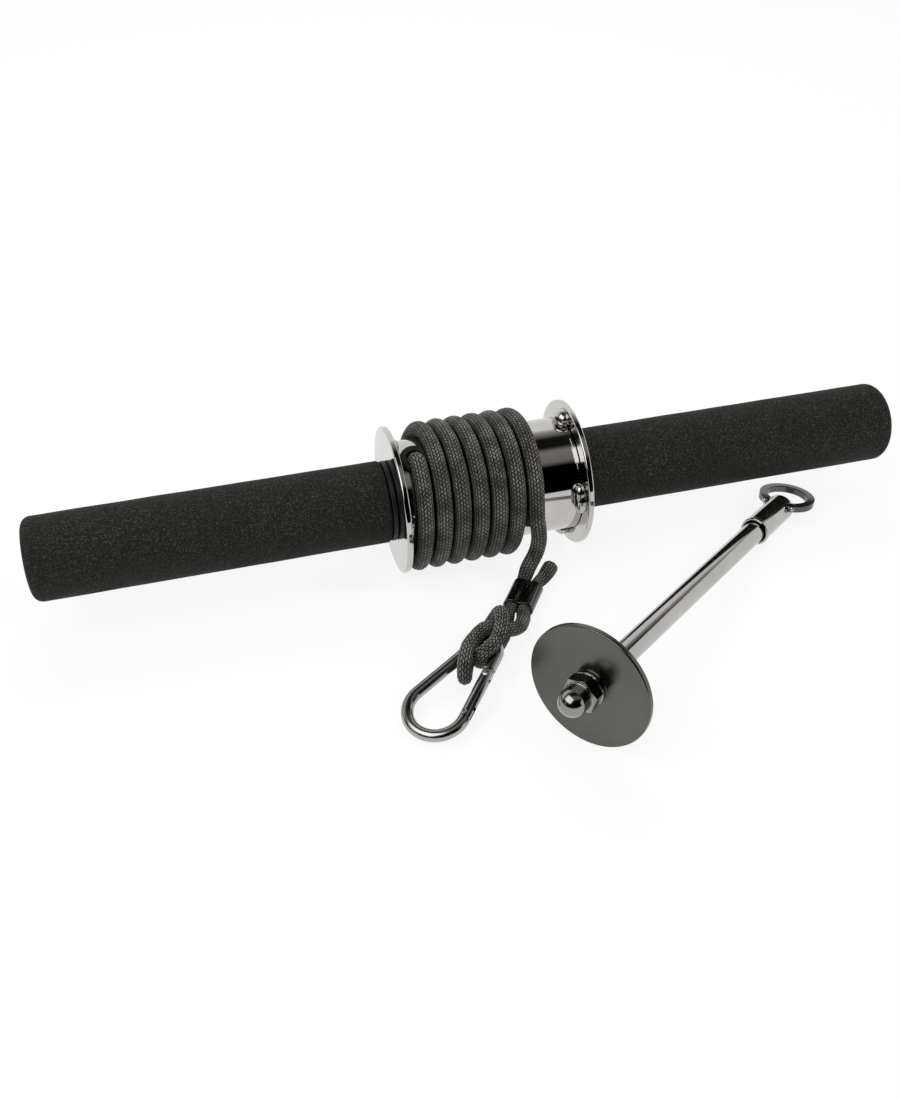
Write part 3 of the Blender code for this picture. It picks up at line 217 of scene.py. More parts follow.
SLEEVE_LIP_WIDTH = 1.6 * MM
SLEEVE_LIP_SLOPE = 0.6 * MM
SLEEVE_GROOVE = 0.45 * MM
ROD_END = SLEEVE_END - SLEEVE_END_WALL - GAP
RING_PLACE = ROD_END - 12.0 * MM
RING_HALF = 0.9 * MM
EYE_OUTSET = 5.3 * MM
EYE_CENTRE = SLEEVE_END + EYE_OUTSET
EYE_RADIUS = 14.2 * MM
EYE_WIDTH = 4.0 * MM
EYE_RISE = 2.6 * MM
EYE_THICKNESS = 3.5 * MM
EYE_EDGE = 0.35 * MM
EYE_ROLL = radians(3.6)
EYE_PITCH = radians(5.5)
EYE_WELD_SIZE = (6.5 * MM, 3.9 * MM)
EYE_WELD_INSET = 2.6 * MM
PIN_XY = (6.66 * MM, -135.7 * MM)
PIN_HEADING = radians(37.2)
PIN_REACH = SLEEVE_END - SLEEVE_NOSE - DISC_THICKNESS + DISC_EDGE
PIN_RISE = DISC_RADIUS - SLEEVE_RADIUS + SLEEVE_NOSE - DISC_EDGE
PIN_SLOPE = (atan2(PIN_RISE, PIN_REACH)
             - asin((SLEEVE_NOSE - DISC_EDGE) / hypot(PIN_RISE, PIN_REACH)))

# Routes of the rope, in millimetres: the free stretch in the roller's frame, and the hitch along the
# carabiner, towards its spine and up from its wire
DROP_ROUTE = ((18.4, -34.2, 33.0), (18.9, -35.0, 24.0), (17.3, -35.0, 16.0), (13.6, -36.4, 9.8))
HITCH_ROUTE = (
    (33.5, 2.8, -14.2), (28.6, 0.0, -10.4), (23.0, -2.8, -5.6), (17.5, -2.0, -2.0), (13.8, 0.8, 0.4),
    (11.2, 3.0, 3.8), (7.0, 4.5, 6.4), (1.0, 4.6, 7.2), (-5.0, 4.2, 7.4), (-10.5, 2.2, 5.8),
    (-14.0, 0.6, 1.6), (-14.2, 0.8, -3.0), (-11.0, 3.4, -6.4), (-5.0, 6.8, -7.4), (2.0, 8.6, -8.0),
    (8.4, 9.8, -8.6), (14.6, 10.2, -8.2), (19.2, 9.2, -4.8), (20.4, 6.8, 0.6), (19.0, 3.8, 5.6),
    (15.6, 0.2, 8.8), (11.0, -2.8, 9.1), (6.0, -4.5, 7.8), (0.8, -3.9, 6.4), (-2.6, -2.1, 4.6),
    (-4.0, -0.2, 0.8), (-3.4, 0.3, -3.4), (0.0, 0.5, -6.5), (6.0, 0.8, -8.2), (13.0, 1.8, -10.0),
    (20.0, 4.0, -11.7), (28.0, 8.4, -13.7), (32.0, 10.6, -15.0),
)


# Places of the pieces

def moved(place, x=0.0, y=0.0, z=0.0):
    """A place shifted along its own axes."""
    return place @ Matrix.Translation((x, y, z))


def frame_of(x_axis, y_axis, z_axis, origin=(0, 0, 0)):
    """A place from its three axes and its origin."""
    turn = Matrix((x_axis, y_axis, z_axis)).transposed().to_4x4()
    return Matrix.Translation(Vector(origin)) @ turn


def heading_line(heading, rise=0.0):
    """The way along a heading that climbs by an angle, and the level way to the left of it."""
    along = Vector((cos(heading) * cos(rise), sin(heading) * cos(rise), sin(rise)))
    return along, Vector((-sin(heading), cos(heading), 0))


def heading_frame(heading, origin):
    """X to the right of the heading, Z along it."""
    towards, left = heading_line(heading)
    return frame_of(-left, left.cross(towards), towards, origin)


def carabiner_frame():
    """Centre of the narrow bend: X along the carabiner towards that bend, Y towards the spine."""
    along, side = heading_line(CARABINER_HEADING, CARABINER_TILT)
    height = WIRE_RADIUS + (WIDE_BEND + BEND_SPACING) * sin(CARABINER_TILT)
    return frame_of(along, side, along.cross(side), (*CARABINER_XY, height))


def gate_line(distance):
    """The point so far from the narrow bend on the gate's side, and the way towards the wide bend."""
    start = Vector((NARROW_BEND * sin(SIDE_ANGLE), -NARROW_BEND * cos(SIDE_ANGLE), 0))
    run = Vector((-cos(SIDE_ANGLE), -sin(SIDE_ANGLE), 0))
    return start + run * distance, run


def gate_frame():
    """The gate's rivet: X along the gate to its tip, Y out of the carabiner, Z along the rivet."""
    hinge, run = gate_line(HINGE_SETBACK)
    up = Vector((0, 0, 1))
    return frame_of(run, up.cross(run), up, hinge)


def pin_frame():
    """Centre of the disc's front face: Z along the rod, X down to the table."""
    along, side = heading_line(PIN_HEADING, -PIN_SLOPE)
    rim, edge = DISC_RADIUS - DISC_EDGE, DISC_THICKNESS - DISC_EDGE
    height = DISC_EDGE + rim * cos(PIN_SLOPE) + edge * sin(PIN_SLOPE)
    return frame_of(side.cross(along), side, along, (*PIN_XY, height))


LAYOUT = moved(Matrix(), y=ROLLER_Y)
ROLLER = LAYOUT @ frame_of((0, 0, -1), (0, 1, 0), (1, 0, 0), (0, 0, FLANGE_RADIUS))
ROPE_OUT = Vector((-sin(ROPE_START_ANGLE), -cos(ROPE_START_ANGLE), 0))
ROPE_HOLE = ROLLER @ frame_of((0, 0, 1), ROPE_OUT.cross(Vector((0, 0, 1))), ROPE_OUT, (0, 0, ROPE_START))
FERRULE = LAYOUT @ heading_frame(FERRULE_HEADING, FERRULE_PLACE)
CARABINER = LAYOUT @ carabiner_frame()
HINGE = CARABINER @ gate_frame()
PIN = LAYOUT @ pin_frame()
EYE = PIN @ Matrix.Rotation(-EYE_ROLL, 4, "Z")
EYE_TILT = moved(moved(EYE, -EYE_RISE, 0, EYE_CENTRE) @ Matrix.Rotation(EYE_PITCH, 4, "Y"), z=-EYE_CENTRE)
ACROSS = Matrix.Rotation(QUARTER, 4, "Y")


# Camera

def aim_camera():
    """The camera as it was solved from the photo."""
    bpy.ops.object.camera_add(location=CAMERA_PLACE)
    camera = bpy.context.object
    forward = Vector(CAMERA_FORWARD).normalized()
    right = Vector(CAMERA_RIGHT).normalized()
    up = right.cross(forward)
    camera.rotation_mode = "QUATERNION"
    camera.rotation_quaternion = frame_of(right, up, -forward).to_quaternion()
    camera.data.lens = CAMERA_LENS
    camera.data.sensor_width = CAMERA_SENSOR
    camera.data.clip_start = CAMERA_CLIP
    bpy.context.scene.camera = camera


# Modelling steps

def pick(made):
    """Make one object the only selected and active one."""
    bpy.ops.object.select_all(action="DESELECT")
    made.select_set(True)
    bpy.context.view_layer.objects.active = made
    return made


def edit(made):
    """Open a piece for mesh edits, all of it selected."""
    pick(made)
    bpy.ops.object.mode_set(mode="EDIT")
    bpy.ops.mesh.select_all(action="SELECT")


def leave_edit():
    """Back from mesh edits to the piece."""
    bpy.ops.object.mode_set(mode="OBJECT")


def close_surface(merged=True):
    """Merge the points that lie on each other, face everything outwards and leave edit mode."""
    bpy.ops.mesh.select_all(action="SELECT")
    if merged:
        bpy.ops.mesh.remove_doubles(threshold=MERGE)
    bpy.ops.mesh.normals_make_consistent(inside=False)
    leave_edit()


def settle(made, name, place, angle=SHARP):
    """Name a piece, set it in its place with its object at the origin, and shade it."""
    made.name = name
    made.data.name = name
    made.matrix_world = place
    pick(made)
    bpy.ops.object.transform_apply(location=True, rotation=True, scale=True)
    bpy.ops.object.shade_smooth_by_angle(angle=angle)
    return made


def finish_step(made, kind, **settings):
    """Add a modifier with its settings and apply it."""
    step = made.modifiers.new(kind.title(), kind)
    for key, value in settings.items():
        setattr(step, key, value)
    pick(made)
    bpy.ops.object.modifier_apply(modifier=step.name)
    return made


def combine(made, other, operation="DIFFERENCE", crossing=False):
    """Cut, join or intersect a piece with another, which is used up."""
    finish_step(made, "BOOLEAN", operation=operation, object=other, use_self=crossing)
    bpy.data.objects.remove(other, do_unlink=True)
    return made


def soften(made, width, segments, degrees):
    """Round the edges that turn by more than an angle."""
    return finish_step(made, "BEVEL", width=width, segments=segments, limit_method="ANGLE",
                       angle_limit=radians(degrees))


def even_normals(made):
    """Shade flat faces flat where they meet rounded edges."""
    return finish_step(made, "WEIGHTED_NORMAL", keep_sharp=True, weight=80)


def arc(centre, radius, start, stop, count):
    """Points on an arc, both ends included."""
    turns = [start + (stop - start) * i / count for i in range(count + 1)]
    return [(centre[0] + radius * cos(turn), centre[1] + radius * sin(turn)) for turn in turns]


def rolled(radius, start, end, edge, count):
    """The outer rim of a plate from one height to another, rounded at both."""
    side = 1 if start > end else -1
    return (arc((radius - edge, start - side * edge), edge, side * QUARTER, 0, count)
            + arc((radius - edge, end + side * edge), edge, 0, -side * QUARTER, count))


def held(profile, closed):
    """Add holding points at both ends of each long straight run, so that flat faces stay flat."""
    points = list(profile) + ([profile[0]] if closed else [])
    out = [points[0]]
    for (r, z), (r2, z2) in zip(points, points[1:]):
        run = hypot(r2 - r, z2 - z)
        if run > 5 * HOLD:
            for share in (HOLD / run, 1 - HOLD / run):
                out.append((r + (r2 - r) * share, z + (z2 - z) * share))
        out.append((r2, z2))
    return out


def turned(name, profile, place, steps=160, closed=False):
    """Spin a profile of (radius, height) points about the place's Z axis."""
    points = held(profile, closed)
    bpy.ops.mesh.primitive_plane_add(size=MM)
    made = bpy.context.object
    edit(made)
    bpy.ops.mesh.merge(type="CENTER")
    bpy.ops.transform.translate(value=(points[0][0], 0, points[0][1]))
    for (r, z), (r2, z2) in zip(points, points[1:]):
        bpy.ops.mesh.extrude_vertices_move(TRANSFORM_OT_translate={"value": (r2 - r, 0, z2 - z)})
    bpy.ops.mesh.select_all(action="SELECT")
    bpy.ops.mesh.spin(steps=steps, angle=tau, center=(0, 0, 0), axis=(0, 0, 1))
    close_surface()
    return settle(made, name, place)


def rounded_bar(name, radius, length, place, sides=96):
    """A cylinder about the middle of its place."""
    bpy.ops.mesh.primitive_cylinder_add(vertices=sides, radius=radius, depth=length)
    return settle(bpy.context.object, name, place)


def pushed(outline, length, fill="NGON"):
    """An outline in the XY plane pushed along Z, half of its length to either side."""
    bpy.ops.mesh.primitive_circle_add(vertices=len(outline), radius=MM, fill_type=fill)
    made = bpy.context.object
    for vert, (x, y) in zip(made.data.vertices, outline):
        vert.co = (x, y, -length / 2)
    edit(made)
    bpy.ops.mesh.extrude_region_move(TRANSFORM_OT_translate={"value": (0, 0, length)})
    close_surface(merged=False)
    return made


def slab(name, outline, thickness, place):
    """A plate with the outline, set at its place."""
    return settle(pushed(outline, thickness), name, place)


def block(name, size, place):
    """A box about the middle of its place."""
    bpy.ops.mesh.primitive_cube_add(size=1)
    made = bpy.context.object
    made.scale = size
    bpy.ops.object.transform_apply(location=False, rotation=False, scale=True)
    return settle(made, name, place)


def bent_wire(name, points, radius, place, rounds=12):
    """A round wire with filled ends along the points."""
    bpy.ops.curve.primitive_nurbs_path_add()
    made = bpy.context.object
    curve = made.data
    curve.splines.clear()
    spline = curve.splines.new("POLY")
    spline.points.add(len(points) - 1)
    for point, spot in zip(spline.points, points):
        point.co = (*spot, 1.0)
    curve.bevel_depth = radius
    curve.bevel_resolution = rounds
    curve.use_fill_caps = True
    curve.twist_mode = "MINIMUM"
    pick(made)
    bpy.ops.object.convert(target="MESH")
    made = bpy.context.object
    edit(made)
    close_surface()
    return settle(made, name, place)


def weld_bead(name, place, length, rise, seed, ripples=4, spread=0.86):
    """A run of overlapping drops of weld metal, melted into one lump, longest along the place's X."""
    drops = []
    for number in range(ripples):
        at = (number + 0.5) / ripples - 0.5
        fat = sqrt(1 - (1.7 * at) ** 2) * (1 + 0.14 * sin(seed + 2.4 * number))
        spot = (at * length * spread, 0.06 * rise * sin(1.7 * number + seed),
                0.04 * rise * cos(seed * number))
        bpy.ops.mesh.primitive_uv_sphere_add(segments=20, ring_count=12, radius=0.5, location=spot)
        drop = bpy.context.object
        drop.scale = (length * (1 - spread * (1 - 1 / ripples)), rise * fat, rise * fat)
        drops.append(drop)
    bpy.ops.object.select_all(action="DESELECT")
    for drop in drops:
        drop.select_set(True)
    bpy.context.view_layer.objects.active = drops[0]
    bpy.ops.object.join()
    made = bpy.context.object
    bpy.ops.object.transform_apply(location=True, rotation=True, scale=True)
    finish_step(made, "REMESH", mode="VOXEL", voxel_size=WELD_GRAIN)
    finish_step(made, "SMOOTH", factor=0.5, iterations=WELD_SMOOTHING)
    return settle(made, name, place, pi)


# Rope

def smooth_path(knots, spacing):
    """Points at even spacing along a smooth curve through the knots, end knots included."""
    knots = [Vector(knot) for knot in knots]
    guide = [2 * knots[0] - knots[1]] + knots + [2 * knots[-1] - knots[-2]]
    fine = [knots[0]]
    steps = 24
    for before, start, stop, after in zip(guide, guide[1:], guide[2:], guide[3:]):
        legs = ((before, start), (start, stop), (stop, after))
        first, middle, last = (sqrt((b - a).length) for a, b in legs)
        leave = (start - before) / first - (stop - before) / (first + middle) + (stop - start) / middle
        arrive = (stop - start) / middle - (after - start) / (middle + last) + (after - stop) / last
        leave, arrive = leave * middle, arrive * middle
        for step in range(1, steps + 1):
            t = step / steps
            fine.append(start * (2 * t ** 3 - 3 * t ** 2 + 1) + leave * (t ** 3 - 2 * t ** 2 + t)
                        + stop * (3 * t ** 2 - 2 * t ** 3) + arrive * (t ** 3 - t ** 2))
    return resample(fine, spacing)


def resample(fine, spacing):
    """Points at even spacing along a path."""
    run = run_of(fine)
    count = max(2, round(run[-1] / spacing))
    points, i = [], 0
    for n in range(count + 1):
        goal = run[-1] * n / count
        while i < len(fine) - 2 and run[i + 1] < goal:
            i += 1
        part = (goal - run[i]) / (run[i + 1] - run[i])
        points.append(fine[i].lerp(fine[i + 1], min(1.0, part)))
    return points


def ease(points, rounds=8):
    """Round off the small kinks where two stretches of a path meet."""
    for _ in range(rounds):
        inner = [a * 0.25 + b * 0.5 + c * 0.25 for a, b, c in zip(points, points[1:], points[2:])]
        points = [points[0], *inner, points[-1]]
    return points


def run_of(points):
    """Length of a path up to each of its points."""
    run = [0.0]
    for a, b in zip(points, points[1:]):
        run.append(run[-1] + (b - a).length)
    return run


def coil_place(turns):
    """Centre of the rope on the drum after a number of turns, going down the front first."""
    angle = ROPE_START_ANGLE - turns * tau
    sway = cos(tau * (turns - ROPE_SWAY_PEAK)) - cos(tau * ROPE_SWAY_PEAK)
    x = ROPE_START + ROPE_PITCH * turns + ROPE_SWAY * sway
    return Vector((x, -COIL_RADIUS * cos(angle), FLANGE_RADIUS + COIL_RADIUS * sin(angle)))


def coil_points():
    """The rope from inside the drum, out through its hole and round the drum to where it hangs free."""
    out = Vector((0, -cos(ROPE_START_ANGLE), sin(ROPE_START_ANGLE)))
    down = Vector((0, -sin(ROPE_START_ANGLE), -cos(ROPE_START_ANGLE)))
    hole = Vector((ROPE_START, 0, FLANGE_RADIUS))
    bend, lead_steps, bend_steps, per_turn = ROPE_EXIT_BEND, 9, 16, 144
    foot = COIL_RADIUS - bend
    points = [hole + out * (foot - ROPE_DIAMETER * (1 - step / lead_steps)) for step in range(lead_steps)]
    for step in range(bend_steps):
        turn = QUARTER * step / bend_steps
        points.append(hole + out * (foot + bend * sin(turn)) + down * (bend * (1 - cos(turn))))
    lead = bend / (tau * COIL_RADIUS)
    count = round((ROPE_TURNS - lead) * per_turn)
    points += [coil_place(lead + (ROPE_TURNS - lead) * step / count) for step in range(count + 1)]
    leave = (coil_place(ROPE_TURNS) - coil_place(ROPE_TURNS - 0.002)).normalized()
    points.append(points[-1] + leave * ROPE_DIAMETER)
    return points, leave


def rope_route():
    """The whole rope: winding, free stretch, hitch and tail, with its thickness along the way."""
    coil, leave = coil_points()
    ferrule, carabiner = heading_frame(FERRULE_HEADING, FERRULE_PLACE), carabiner_frame()
    half, lobe = FERRULE_LENGTH / 2, FERRULE_OFFSET
    depths = (GAP / 2, half, half + LEAD_IN)
    start = coil[-1] + leave * ROPE_STEP
    lead_in = [ferrule @ Vector((-lobe, 0, depth)) for depth in reversed(depths)]
    route = [start, start + leave * 0.6 * ROPE_DIAMETER] + [Vector(p) * MM for p in DROP_ROUTE]
    drop = smooth_path(route + lead_in, MM)
    first = [ferrule @ Vector((lobe, 0, -depth)) for depth in depths]
    last = [ferrule @ Vector((-lobe, 0, -depth)) for depth in reversed(depths)]
    hitch = smooth_path(first + [carabiner @ (Vector(p) * MM) for p in HITCH_ROUTE] + last, MM)[::-1]
    route = [(lobe, 0, depth) for depth in depths]
    route += [(lobe + 0.6 * TAIL_LEAN, 0, half + 0.45 * TAIL_LENGTH),
              (lobe + TAIL_LEAN, 0, half + TAIL_LENGTH)]
    tail = smooth_path([ferrule @ Vector(p) for p in route], MM)
    ends = np.cumsum([run_of(part)[-1] for part in (coil, drop, hitch, tail)])
    ends[:3] += ROPE_STEP
    whole = coil + drop + hitch + tail
    stops = []
    clamps = ((ends[1], ROPE_DIAMETER, HITCH_ROPE), (ends[2], HITCH_ROPE, ROPE_DIAMETER))
    for middle, before, after in clamps:
        stops += [(middle - half - SWELL, before), (middle - half, CRIMPED_ROPE),
                  (middle + half, CRIMPED_ROPE), (middle + half + SWELL, after)]
    points = [LAYOUT @ p for p in ease(resample(whole, RING_SPACING))]
    thick = np.interp(run_of(points), *zip(*stops))
    return points, thick


def plait_height(u, v):
    """Height of the plaited strands, 0 to 1, round the rope and along it."""
    share = (u * PLAITS) % 1.0
    lean = abs(2 * share - 1)
    row = (v / PLAIT_ROW + PLAIT_SLANT * lean + 0.5 * (share < 0.5)) % 1.0
    grain = np.sqrt(np.clip(1 - (2 * row - 1) ** 2, 0, 1))
    edge = np.clip(4 * lean * (1 - lean), 0, 1) ** PLAIT_EDGE
    return grain * edge


def plaited_rope(name, points, thick):
    """A tube along the points whose surface rises and falls with the strands, with its own UV map."""
    centres = np.array([tuple(p) for p in points])
    ahead = np.gradient(centres, axis=0)
    ahead /= np.linalg.norm(ahead, axis=1)[:, None]
    side = np.zeros_like(centres)
    side[0] = np.cross(ahead[0], (1.0, 0.0, 0.0))
    side[0] /= np.linalg.norm(side[0])
    for i in range(1, len(centres)):
        side[i] = side[i - 1] - ahead[i] * (side[i - 1] @ ahead[i])
        side[i] /= np.linalg.norm(side[i])
    other = np.cross(ahead, side)
    run = np.array(run_of(points))
    around = np.arange(RING_SIDES) / RING_SIDES
    u, v = np.meshgrid(around, run)
    height = plait_height(u + 0.5 / RING_SIDES, v) - PLAIT_MEAN
    radius = thick[:, None] / 2 - PLAIT_SINK + PLAIT_RELIEF * height
    rest = np.minimum(run, run[-1] - run)[:, None]
    radius *= np.sqrt(np.clip(1 - (1 - np.clip(rest / CUT_END, 0, 1)) ** 2, 0.5, 1))
    turn = u * tau
    ring = (centres[:, None, :] + radius[..., None] * (np.cos(turn)[..., None] * side[:, None, :]
                                                       + np.sin(turn)[..., None] * other[:, None, :]))
    count, sides = len(centres), RING_SIDES
    verts = np.concatenate([ring.reshape(-1, 3), centres[:1] + ahead[:1] * END_DENT,
                            centres[-1:] - ahead[-1:] * END_DENT])
    grid = np.arange(count * sides).reshape(count, sides)
    across = np.roll(grid, -1, axis=1)
    faces = np.stack([grid[:-1], across[:-1], across[1:], grid[1:]], axis=-1).reshape(-1, 4).tolist()
    near, far = np.stack([u, v], axis=-1), np.stack([u + 1 / sides, v], axis=-1)
    spots = np.stack([near[:-1], far[:-1], far[1:], near[1:]], axis=2).reshape(-1, 2).tolist()
    for middle, first, order in ((count * sides, 0, -1), (count * sides + 1, (count - 1) * sides, 1)):
        at = run[0] if order < 0 else run[-1]
        for j in range(sides):
            k = (j + 1) % sides
            corner = (first + j, first + k) if order > 0 else (first + k, first + j)
            faces.append((*corner, middle))
            spots += [(j / sides, at), ((j + 1) / sides, at), ((j + 0.5) / sides, at)]
    mesh = bpy.data.meshes.new(name)
    mesh.from_pydata(verts.tolist(), [], faces)
    layer = mesh.uv_layers.new(name="plait")
    layer.data.foreach_set("uv", np.array(spots, np.float32).ravel())
    mesh.shade_smooth()
    made = bpy.data.objects.new(name, mesh)
    bpy.context.scene.collection.objects.link(made)
    return made


def make_knot():
    """The stopper knot behind the grommet: strands wrapped round a rounded lump."""
    top = DRUM_RADIUS - DRUM_WALL - 2 * GAP - INNER_LIP
    foot = TUBE_RADIUS + 0.5 * MM
    seat, rise, radius = ROPE_RADIUS + GAP, top - foot, KNOT_RADIUS
    rope_end = COIL_RADIUS - ROPE_EXIT_BEND - ROPE_DIAMETER - GAP
    profile = [(0, rope_end), (seat, rope_end), (seat, top), (radius - 0.30 * rise, top - 0.04 * rise)]
    steps = 24
    for i in range(steps):
        share = (i + 0.5) / steps
        bulge = sqrt(max(0.0, 1 - (2 * share - 1) ** 2))
        wave = KNOT_WAVE * abs(sin(pi * KNOT_WRAPS * share))
        profile.append((radius - 0.30 * rise + 0.27 * rise * bulge + wave - KNOT_WAVE,
                        top - 0.05 * rise - 0.9 * rise * share))
    profile += [(radius - 0.34 * rise, foot + 0.03 * rise), (0, foot)]
    return turned("stopper_knot", profile, ROPE_HOLE, steps=64)


# Roller

def make_grip(side):
    """A foam sleeve with a rounded blind end and the slight unevenness of skived foam."""
    start, end = GRIP_START, GRIP_START + GRIP_LENGTH
    radius, bore = GRIP_RADIUS, TUBE_RADIUS + GAP
    flat = radius - GRIP_END_ROUNDING
    crown = ((0, 0), (0.3, 0.1), (0.6, 0.3), (0.85, 0.7))
    profile = [(flat * out, end - GRIP_CROWN * drop) for out, drop in crown]
    high, low, rings = end - GRIP_CROWN - GRIP_END_ROUNDING, start + GRIP_INNER_ROUNDING, 70
    profile += arc((flat, high), GRIP_END_ROUNDING, QUARTER, 0, 12)
    profile += [(radius, high + (low - high) * i / rings) for i in range(1, rings)]
    profile += arc((radius - GRIP_INNER_ROUNDING, low), GRIP_INNER_ROUNDING, 0, -QUARTER, 8)
    profile += [(bore, start), (bore, end - GRIP_END_WALL), (0, end - GRIP_END_WALL)]
    made = turned(side + "_foam_grip", [(r, SIGNS[side] * z) for r, z in profile], ROLLER, steps=128)
    hub = ROLLER.translation
    for vert in made.data.vertices:
        arm = vert.co - hub
        arm.x = 0
        if arm.length > flat:
            vert.co += arm.normalized() * (FOAM_UNEVENNESS * (noise.noise(vert.co * FOAM_WAVES) - 0.35))
    return made


def make_spacer(side):
    """The dark ring between a flange and its grip."""
    near = FLANGE_OUTER + GAP
    low, high = sorted((SIGNS[side] * near, SIGNS[side] * (near + SPACER_THICKNESS)))
    bore = TUBE_RADIUS + GAP
    profile = rolled(SPACER_RADIUS, high, low, SPACER_EDGE, 6) + [(bore, low), (bore, high)]
    return turned(side + "_spacer_ring", profile, ROLLER, closed=True)


def make_flange(side):
    """A flat disc with a rolled edge and the fine steps that its turning leaves on the inner face."""
    inner, outer = SIGNS[side] * FLANGE_INNER, SIGNS[side] * FLANGE_OUTER
    rim, step, bore = FLANGE_RADIUS - FLANGE_RIM, 0.3 * MM, TUBE_RADIUS + GAP
    dish = inner + SIGNS[side] * FLANGE_DISH
    profile = rolled(FLANGE_RADIUS, outer, inner, FLANGE_EDGE, 10)
    profile += [(rim, inner), (rim - step, dish), (bore, dish), (bore, outer)]
    return turned(side + "_flange_disc", profile, ROLLER, steps=256, closed=True)


def make_beads(side):
    """Four beads in the corner of drum and flange, fatter on the right, where the rope leaves them room."""
    length, rise = WELD_SIZES[side]
    across, along = -(DRUM_RADIUS + 0.25 * rise), SIGNS[side] * (FLANGE_INNER - 0.2 * rise)
    beads = []
    for number in range(WELD_COUNT):
        turn = Matrix.Rotation(WELD_PHASE + number * tau / WELD_COUNT, 4, "Z")
        place = moved(ROLLER @ turn, across, 0, along) @ Matrix.Rotation(QUARTER, 4, "Z")
        seed = number + 2 * SIGNS[side]
        beads.append(weld_bead(f"{side}_weld_{number + 1}", place, length, rise, seed, 2, 0.5))
    return beads


def make_drum():
    """The plated tube that the rope winds on, with the hole that the rope comes out of."""
    low, high, inner = -DRUM_LENGTH / 2, DRUM_LENGTH / 2, DRUM_RADIUS - DRUM_WALL
    walls = [(DRUM_RADIUS, high), (DRUM_RADIUS, low), (inner, low), (inner, high)]
    drum = turned("drum_tube", walls, ROLLER, steps=256, closed=True)
    combine(drum, rounded_bar("rope_hole", HOLE_RADIUS, 6 * DRUM_WALL, moved(ROPE_HOLE, z=DRUM_RADIUS)))
    return settle(drum, "drum_tube", Matrix())


def make_grommet(points):
    """A rubber ring in the drum's wall, with a soft lip that the rope has pressed a groove into."""
    lip, neck, bore = LIP_RADIUS, HOLE_RADIUS - GAP, ROPE_RADIUS + GAP
    curl, mouth = LIP_RISE / 2, 0.6 * MM
    outside, inside = DRUM_RADIUS + GAP, DRUM_RADIUS - DRUM_WALL - GAP
    top, bottom = outside + LIP_RISE, inside - INNER_LIP
    profile = arc((lip - curl, top - curl), curl, QUARTER, -pi / 4, 10)
    profile += [(lip - 0.2 * MM, outside), (neck, outside), (neck, inside), (lip, inside - GAP),
                (lip, bottom), (bore, bottom)]
    profile += arc((bore + mouth, top - mouth), mouth, pi, QUARTER, 5)
    grommet = turned("rubber_grommet", profile, ROPE_HOLE, steps=96, closed=True)
    crest = moved(ROPE_HOLE, z=COIL_RADIUS).translation
    reach, jump = 16 * MM, 3 * MM
    near = [p for p in points if (p - crest).length < reach]
    strands, strand = [], [near[0]]
    for before, after in zip(near, near[1:]):
        if (after - before).length > jump:
            strands.append(strand)
            strand = []
        strand.append(after)
    strands.append(strand)
    for strand in strands:
        if len(strand) > 4:
            groove = bent_wire("groove", strand[::3] + [strand[-1]], ROPE_RADIUS + 1.2 * GAP, Matrix(), 6)
            combine(grommet, groove, crossing=True)
    return settle(grommet, "rubber_grommet", Matrix())


def make_ferrule():
    """A two-lobed crimp sleeve, shallow at its waist, with rounded mouths."""
    outline = arc((FERRULE_OFFSET, 0), FERRULE_LOBE, -QUARTER, QUARTER, 40)
    steps = 20
    for step in range(1, steps):
        across = cos(pi * step / steps)
        dip = FERRULE_WAIST * (0.5 + 0.5 * cos(pi * across))
        outline.append((FERRULE_OFFSET * across, FERRULE_LOBE - dip))
    outline += [(-x, -y) for x, y in outline]
    made = pushed(outline, FERRULE_LENGTH, "NOTHING")
    finish_step(made, "SOLIDIFY", thickness=FERRULE_WALL, offset=-1, use_even_offset=True)
    soften(made, FERRULE_EDGE, 4, 60)
    return even_normals(settle(made, "crimp_sleeve", FERRULE))


# Carabiner

